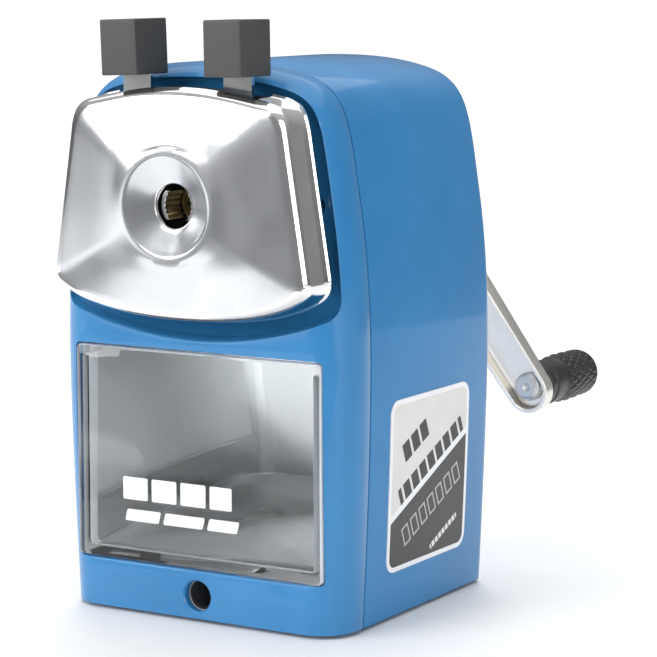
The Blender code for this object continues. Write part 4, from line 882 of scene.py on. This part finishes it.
def crank_parts():
    floor, wall = ARM_REAR - ARM_WEB, ARM_WALL
    rings = [at_y(arm_outline(wall + more), floor - up)
             for more, up in ((1.5, 0.0), (1.0, 0.02), (0.55, 0.12), (0.25, 0.4), (0.12, 0.8))]
    rings += [arm_rim(inset, back) for inset, back in
              ((wall + 0.05, 0.15), (wall - 0.1, 0.0), (0.2, 0.0), (0.05, 0.1), (0.0, 0.3))]
    rings += [at_y(arm_outline(inset), ARM_REAR - up)
              for inset, up in ((0.0, 0.9), (0.08, 0.5), (0.3, 0.2), (0.65, 0.04), (1.0, 0.0))]
    arm = make("arm_channel", loft(rings), NICKEL, "crank", "crank_arm", slot="chrome")
    bore(arm, SHAFT_BORE, ARM_REAR - 3.0, ARM_REAR + 1.0, count=40)
    bore(arm, KNOB_PIN + FIT, ARM_REAR - 3.0, ARM_REAR + 1.0, KNOB_X, KNOB_Z, 40)
    front, rear = CAP_REAR + FIT, ARM_REAR - 1.5
    hub = [(front, SHAFT_BORE), (front, 7.0), (front + 3.7, 6.6), (front + 7.2, 4.3), (rear, 4.0),
           (rear, SHAFT_BORE)]
    make("hub_cone", turned(rounded(hub, 0.5), hollow=True), BLACK, "crank", "crank_hub",
         slot="black_plastic")
    hexagon = circle(NUT_RADIUS, 6, 0.0, AXIS_Z)
    nut = make("nut_body", prism(hexagon, ARM_REAR + FIT, ARM_REAR + NUT_HIGH), CHROME, "crank",
               "crank_nut", slot="chrome")
    carve(nut, turned([(ARM_REAR - 1.0, 6.0), (ARM_REAR + 2.6, 6.0), (ARM_REAR + 4.1, 3.4),
                       (ARM_REAR + 9.0, 3.4)], count=48), "INTERSECT")
    bore(nut, SHAFT_BORE, ARM_REAR - 1.0, SHAFT_REAR + FIT, count=40)
    under = floor - FIT
    head = [(under - 1.8, 0.4), (under - 1.8, PIN_HEAD - 1.1), (under - 1.68, PIN_HEAD - 0.55),
            (under - 1.3, PIN_HEAD - 0.12), (under - 0.8, PIN_HEAD), (under, PIN_HEAD),
            (under, KNOB_PIN), (PIN_REAR, KNOB_PIN)]
    pin = make("rivet_pin", turned(head, KNOB_X, KNOB_Z, 48), ZINC, "crank", "knob_pin",
               slot="steel")
    carve(pin, turned([(under - 2.7, 1.0), (under - 1.7, 0.9), (under - 1.3, 0.5)],
                      KNOB_X, KNOB_Z, 24))


def bulge(share, first, middle, last):
    """Radius along the grip: it swells to the middle value a third of the way along."""
    peak = 0.3
    if share < peak:
        return middle - (middle - first) * (1.0 - share / peak) ** 2
    return middle - (middle - last) * ((share - peak) / (1.0 - peak)) ** 1.6


def crank_knob():
    """Collar, groove, smooth neck and a grip cut by two crossing sets of helical grooves."""
    front, grip_front, grip_rear = KNOB_FRONT, KNOB_FRONT + 8.9, KNOB_REAR - 1.8
    count, steps, starts, depth, twist = 176, 84, 18, 0.30, 0.085
    first, middle, last = KNOB_RADIUS - 0.4, KNOB_RADIUS - 0.04, KNOB_RADIUS - 0.25
    outside = rounded([(front, 4.4), (front + 0.4, 4.95), (front + 2.2, 4.95),
                       (front + 2.5, 4.55), (front + 2.9, 4.55), (front + 3.2, 5.0),
                       (front + 5.0, 4.97), (front + 8.0, 4.78), (front + 8.6, 4.8)], 0.25)[2:]
    inside = [(PIN_REAR + 1.0, KNOB_PIN + FIT), (front, KNOB_PIN + FIT), (front, 4.4)]
    rings = [at_y(circle(r, count, KNOB_X, KNOB_Z), y) for y, r in inside + outside]
    for i in range(steps + 1):
        share = i / steps
        y = grip_front + (grip_rear - grip_front) * share
        fade = min(1.0, i / 3.0, (steps - i) / 3.0)
        full = bulge(share, first, middle, last)
        ring = []
        for k in range(count):
            a = 2 * math.pi * k / count
            turn = (y - grip_front) * twist
            ridge = min(abs(math.sin(starts / 2 * (a + way * turn))) for way in (1, -1))
            radius = full - depth * (1.0 - min(1.0, ridge * 1.6)) * fade
            ring.append((KNOB_X + radius * math.cos(a), y, KNOB_Z + radius * math.sin(a)))
        rings.append(ring)
    for back, drop in ((1.6, 0.04), (1.15, 0.14), (0.75, 0.34), (0.4, 0.65), (0.18, 1.0),
                       (0.04, 1.4), (0.0, 1.8), (0.0, 3.4)):
        rings.append(at_y(circle(last - drop, count, KNOB_X, KNOB_Z), KNOB_REAR - back))
    make("knob_grip", loft(rings), KNOB, "knob", "crank_knob", slot="knob_plastic", sharp=50.0)


def small_parts():
    """Feet, case screws, a clamp tube and the nose bush: turned pieces with round edges."""
    foot = [(0.0, 3.7), (0.5, 4.2), (BASE_HIGH + 0.2, 4.2), (BASE_HIGH + 0.2, 5.4),
            (BASE_HIGH + 1.0, 5.4), (BASE_HIGH + 1.4, 4.8)]
    for where, (x, y) in zip(("front", "rear"), FEET):
        for hand, side in HANDS:
            make(f"foot_pad_{where}_{hand}", upright(rounded(foot, 0.25), side * x, y), RUBBER,
                 "body", f"rubber_foot_{where}_{hand}", slot="rubber")
    for hand, side in HANDS:
        x, z = side * CASE_SCREW_X, CASE_SCREW_Z
        rear = BODY_REAR + FIT
        head = [(CASE_BOSS_FRONT + 2.2, 1.3), (rear, 1.3), (rear, 2.8), (rear + 0.5, 2.75),
                (rear + 1.0, 2.35), (rear + 1.35, 1.7), (rear + 1.5, 0.9)]
        screw = make(f"case_screw_head_{hand}", turned(head, x, z, 40), ZINC, "body",
                     f"case_screw_{hand}", slot="steel")
        for turn in (0.3, 0.3 + math.pi / 2):
            c, s = math.cos(turn), math.sin(turn)
            cross = [(x + a * c - b * s, z + a * s + b * c)
                     for a, b in ((-1.5, -0.28), (1.5, -0.28), (1.5, 0.28), (-1.5, 0.28))]
            carve(screw, prism(cross, rear + 0.6, rear + 3.0))
    tube = [(BODY_FRONT + BEZEL_WALL + FIT, 3.45), (10.0, 3.45), (10.0, 3.0),
            (BODY_FRONT + BEZEL_WALL + FIT, 3.0)]
    make("clamp_tube", turned(rounded(tube, 0.12), 0.0, CLAMP_Z, 48, hollow=True), ZINC, "body",
         "clamp_socket", slot="steel")
    bush = [(-26.6, 5.1), (-26.0, 5.3), (-24.6, 5.5), (-24.6, 7.4), (-23.4, 7.4), (-23.4, 5.5),
            (-18.3, 5.5), (-18.3, 4.4), (-25.6, 4.4)]
    make("nose_bearing", turned(rounded(bush, 0.15), count=64, hollow=True), BRASS, "body",
         "nose_bush", slot="brass")


def coil(start, end, radius, wire, turns, turned_to_y, centre):
    """A helical spring along X, or along Y: its wire swept round its axis."""
    sides, per_turn = 12, 40
    steps = turns * per_turn
    rings = []
    for i in range(steps + 1):
        a = 2 * math.pi * i / per_turn
        along = start + wire + (end - start - 2 * wire) * i / steps
        ring = []
        for k in range(sides):
            b = 2 * math.pi * k / sides
            out = radius + wire * math.cos(b)
            point = Vector((along + wire * math.sin(b), out * math.cos(a), out * math.sin(a)))
            if turned_to_y:
                point = Vector((point.y, point.x, point.z))
            ring.append(point + centre)
        rings.append(ring)
    return loft(rings)


def springs():
    """Coil springs on the two guide rods and one across the jaws, each with a mesh of its own."""
    def shorten(spring):
        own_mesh(spring)

    for hand, side in HANDS:
        centre = Vector((side * ROD_X, 0.0, AXIS_Z))
        wound = coil(FEED_SPRING_FRONT, FEED_SPRING_REAR, FEED_SPRING_RADIUS, FEED_SPRING_WIRE, 8,
                     True, centre)
        feed = make(f"feed_coil_{hand}", wound, SPRING, "body", f"feed_spring_{hand}",
                    slot="spring_steel")
        shorten(feed)
    centre = Vector((0.0, JAW_SPRING_Y, JAW_SPRING_Z))
    wound = coil(-JAW_SPRING_REACH, JAW_SPRING_REACH, JAW_SPRING_RADIUS, JAW_SPRING_WIRE, 7, False,
                 centre)
    jaw = make("jaw_coil", wound, SPRING, "face_carriage", "jaw_spring", slot="spring_steel")
    shorten(jaw)


# -------------------- CAD pieces that stay

def dress():
    kept = {
        ZINC: ("base_plate", "drawer_rail", "base_screw", "frame_screw", "plate_screw", "pivot_pin"),
        CHROME: ("left_lever", "right_lever", "guide_rod", "cutter_axle"),
        SPRING: ("rod_clip",),
        BRASS: ("guide_bush",),
        CAST: ("bearing_frame", "ring_gear", "cutter_carrier"),
        CUTTER: ("helical_cutter", "cutter_pinion"),
        BLACK: ("jaw_housing",),
    }
    for material, starts in kept.items():
        for name, node in NODES.items():
            if name.startswith(starts):
                node.data.materials.clear()
                node.data.materials.append(material)


# -------------------- studio

def area(name, location, target, size, power, colour=(1.0, 1.0, 1.0)):
    light = bpy.data.lights.new(name, "AREA")
    light.shape = "RECTANGLE"
    light.size, light.size_y = size
    light.energy = power
    light.color = colour
    lamp = place(name, light)
    lamp.location = Vector(location) - ORIGIN * MM
    lamp.rotation_mode = "QUATERNION"
    lamp.rotation_quaternion = (Vector(target) - Vector(location)).to_track_quat("-Z", "Y")
    return lamp


def studio():
    bm = bmesh.new()
    bmesh.ops.create_circle(bm, cap_ends=True, segments=96, radius=FLOOR_RADIUS)
    floor = make("floor", bm, FLOOR, None)

    # The camera sees a white backdrop, everything else a soft grey room that darkens downwards.
    world = bpy.data.worlds.new("studio")
    world.use_nodes = True
    tree = world.node_tree
    add, link = tree.nodes.new, tree.links.new
    light = tree.nodes["Background"]
    coords, split = add("ShaderNodeTexCoord"), add("ShaderNodeSeparateXYZ")
    ramp = add("ShaderNodeMapRange")
    ramp.inputs["From Min"].default_value, ramp.inputs["From Max"].default_value = 0.0, 0.9
    ramp.inputs["To Min"].default_value, ramp.inputs["To Max"].default_value = HORIZON, ZENITH
    link(coords.outputs["Generated"], split.inputs[0])
    link(split.outputs[2], ramp.inputs["Value"])
    link(ramp.outputs["Result"], light.inputs["Strength"])
    light.inputs["Color"].default_value = (0.95, 0.97, 1.0, 1.0)
    backdrop = add("ShaderNodeBackground")
    backdrop.inputs["Color"].default_value = (1.0, 1.0, 1.0, 1.0)
    backdrop.inputs["Strength"].default_value = BACKDROP
    rays, both = add("ShaderNodeLightPath"), add("ShaderNodeMixShader")
    link(rays.outputs["Is Camera Ray"], both.inputs[0])
    link(light.outputs[0], both.inputs[1])
    link(backdrop.outputs[0], both.inputs[2])
    link(both.outputs[0], tree.nodes["World Output"].inputs["Surface"])
    bpy.context.scene.world = world

    area("key_softbox", (-0.60, -0.95, 0.52), (0.0, 0.0, 0.06), (0.8, 0.6), 8.5)
    area("top_softbox", (-0.05, 0.05, 1.0), (0.0, 0.0, 0.0), (1.4, 1.4), 7.0)
    area("side_softbox", (0.82, -0.60, 0.36), (0.0, 0.0, 0.05), (0.5, 0.6), 3.0)
    backdrop_light = area("backdrop_light", (-1.1, 2.2, 1.6), (-0.7, 1.2, 0.0), (2.0, 2.0), 60.0)
    backdrop_light.visible_glossy = False

    # A small lamp in the drawer bay lights the rear wall behind the clear tray.
    bay_lamp = area("bay_lamp", (-0.013, 0.003, 0.046), (-0.015, 0.028, 0.0385), (0.008, 0.006),
                    0.010)
    bay_lamp.data.spread = math.radians(66.0)
    bay_lamp.visible_camera = bay_lamp.visible_glossy = False
    # Another hangs just behind the rear wall and lights the near side of the crank arm.
    arm_lamp = area("arm_lamp", (0.014, 0.034, 0.060), (0.014, 0.052, 0.060), (0.050, 0.070),
                    0.0075, (1.0, 0.88, 0.74))
    arm_lamp.visible_camera = arm_lamp.visible_transmission = False

    # Grey cards that show only in reflections: one in front that lies on the floor and stands up
    # at its far edge, a mat on the floor at the left, and a standing one behind.
    profile = [(-361.0, 230.0), (-361.0, 1.0), (-200.0, 1.0), (-200.0, 2.0), (-360.0, 2.0),
               (-360.0, 230.0)]
    front_card = loft([[(x, y, z) for y, z in profile] for x in (-240.0, 330.0)])
    mat = slab([(-300.0, -190.0), (-115.0, -190.0), (-115.0, -60.0), (-300.0, -60.0)], 1.0, 2.0)
    rear_card = slab([(-4.0, 607.0), (-6.0, 603.0), (588.0, 245.0), (590.0, 249.0)], 2.0, 300.0)
    for name, bm in (("grey_card", front_card), ("grey_mat", mat), ("rear_card", rear_card)):
        card = make(name, bm, CARD, None)
        card.visible_camera = card.visible_shadow = card.visible_diffuse = False
        card.visible_transmission = False

    camera = bpy.data.cameras.new("camera")
    camera.lens, camera.sensor_width = CAMERA_LENS, 36.0
    camera.clip_start, camera.clip_end = 0.01, 20.0
    eye = place("camera", camera)
    eye.location = Vector(CAMERA_PLACE) - ORIGIN * MM
    azimuth, pitch, roll = (math.radians(a) for a in (CAMERA_AZIMUTH, CAMERA_PITCH, CAMERA_ROLL))
    back = Vector((math.sin(azimuth) * math.cos(pitch), -math.cos(azimuth) * math.cos(pitch),
                   math.sin(pitch)))
    right = (-back).cross(Vector((0, 0, 1))).normalized()
    up = right.cross(-back)
    side = right * math.cos(roll) + up * math.sin(roll)
    eye.rotation_mode = "QUATERNION"
    eye.rotation_quaternion = Matrix((side, side.cross(-back), back)).transposed().to_quaternion()
    scene = bpy.context.scene
    scene.camera = eye
    scene.view_settings.view_transform = "Standard"
    scene.view_settings.look = "None"


front_bezel()
main_case()
side_label()
shavings_drawer()
face_plate()
button("left", -1, -2.0, (-32.8, -31.8))
button("right", 1, -0.8, (-31.4, -30.4))
rear_parts()
crank_parts()
crank_knob()
small_parts()
springs()
dress()
studio()
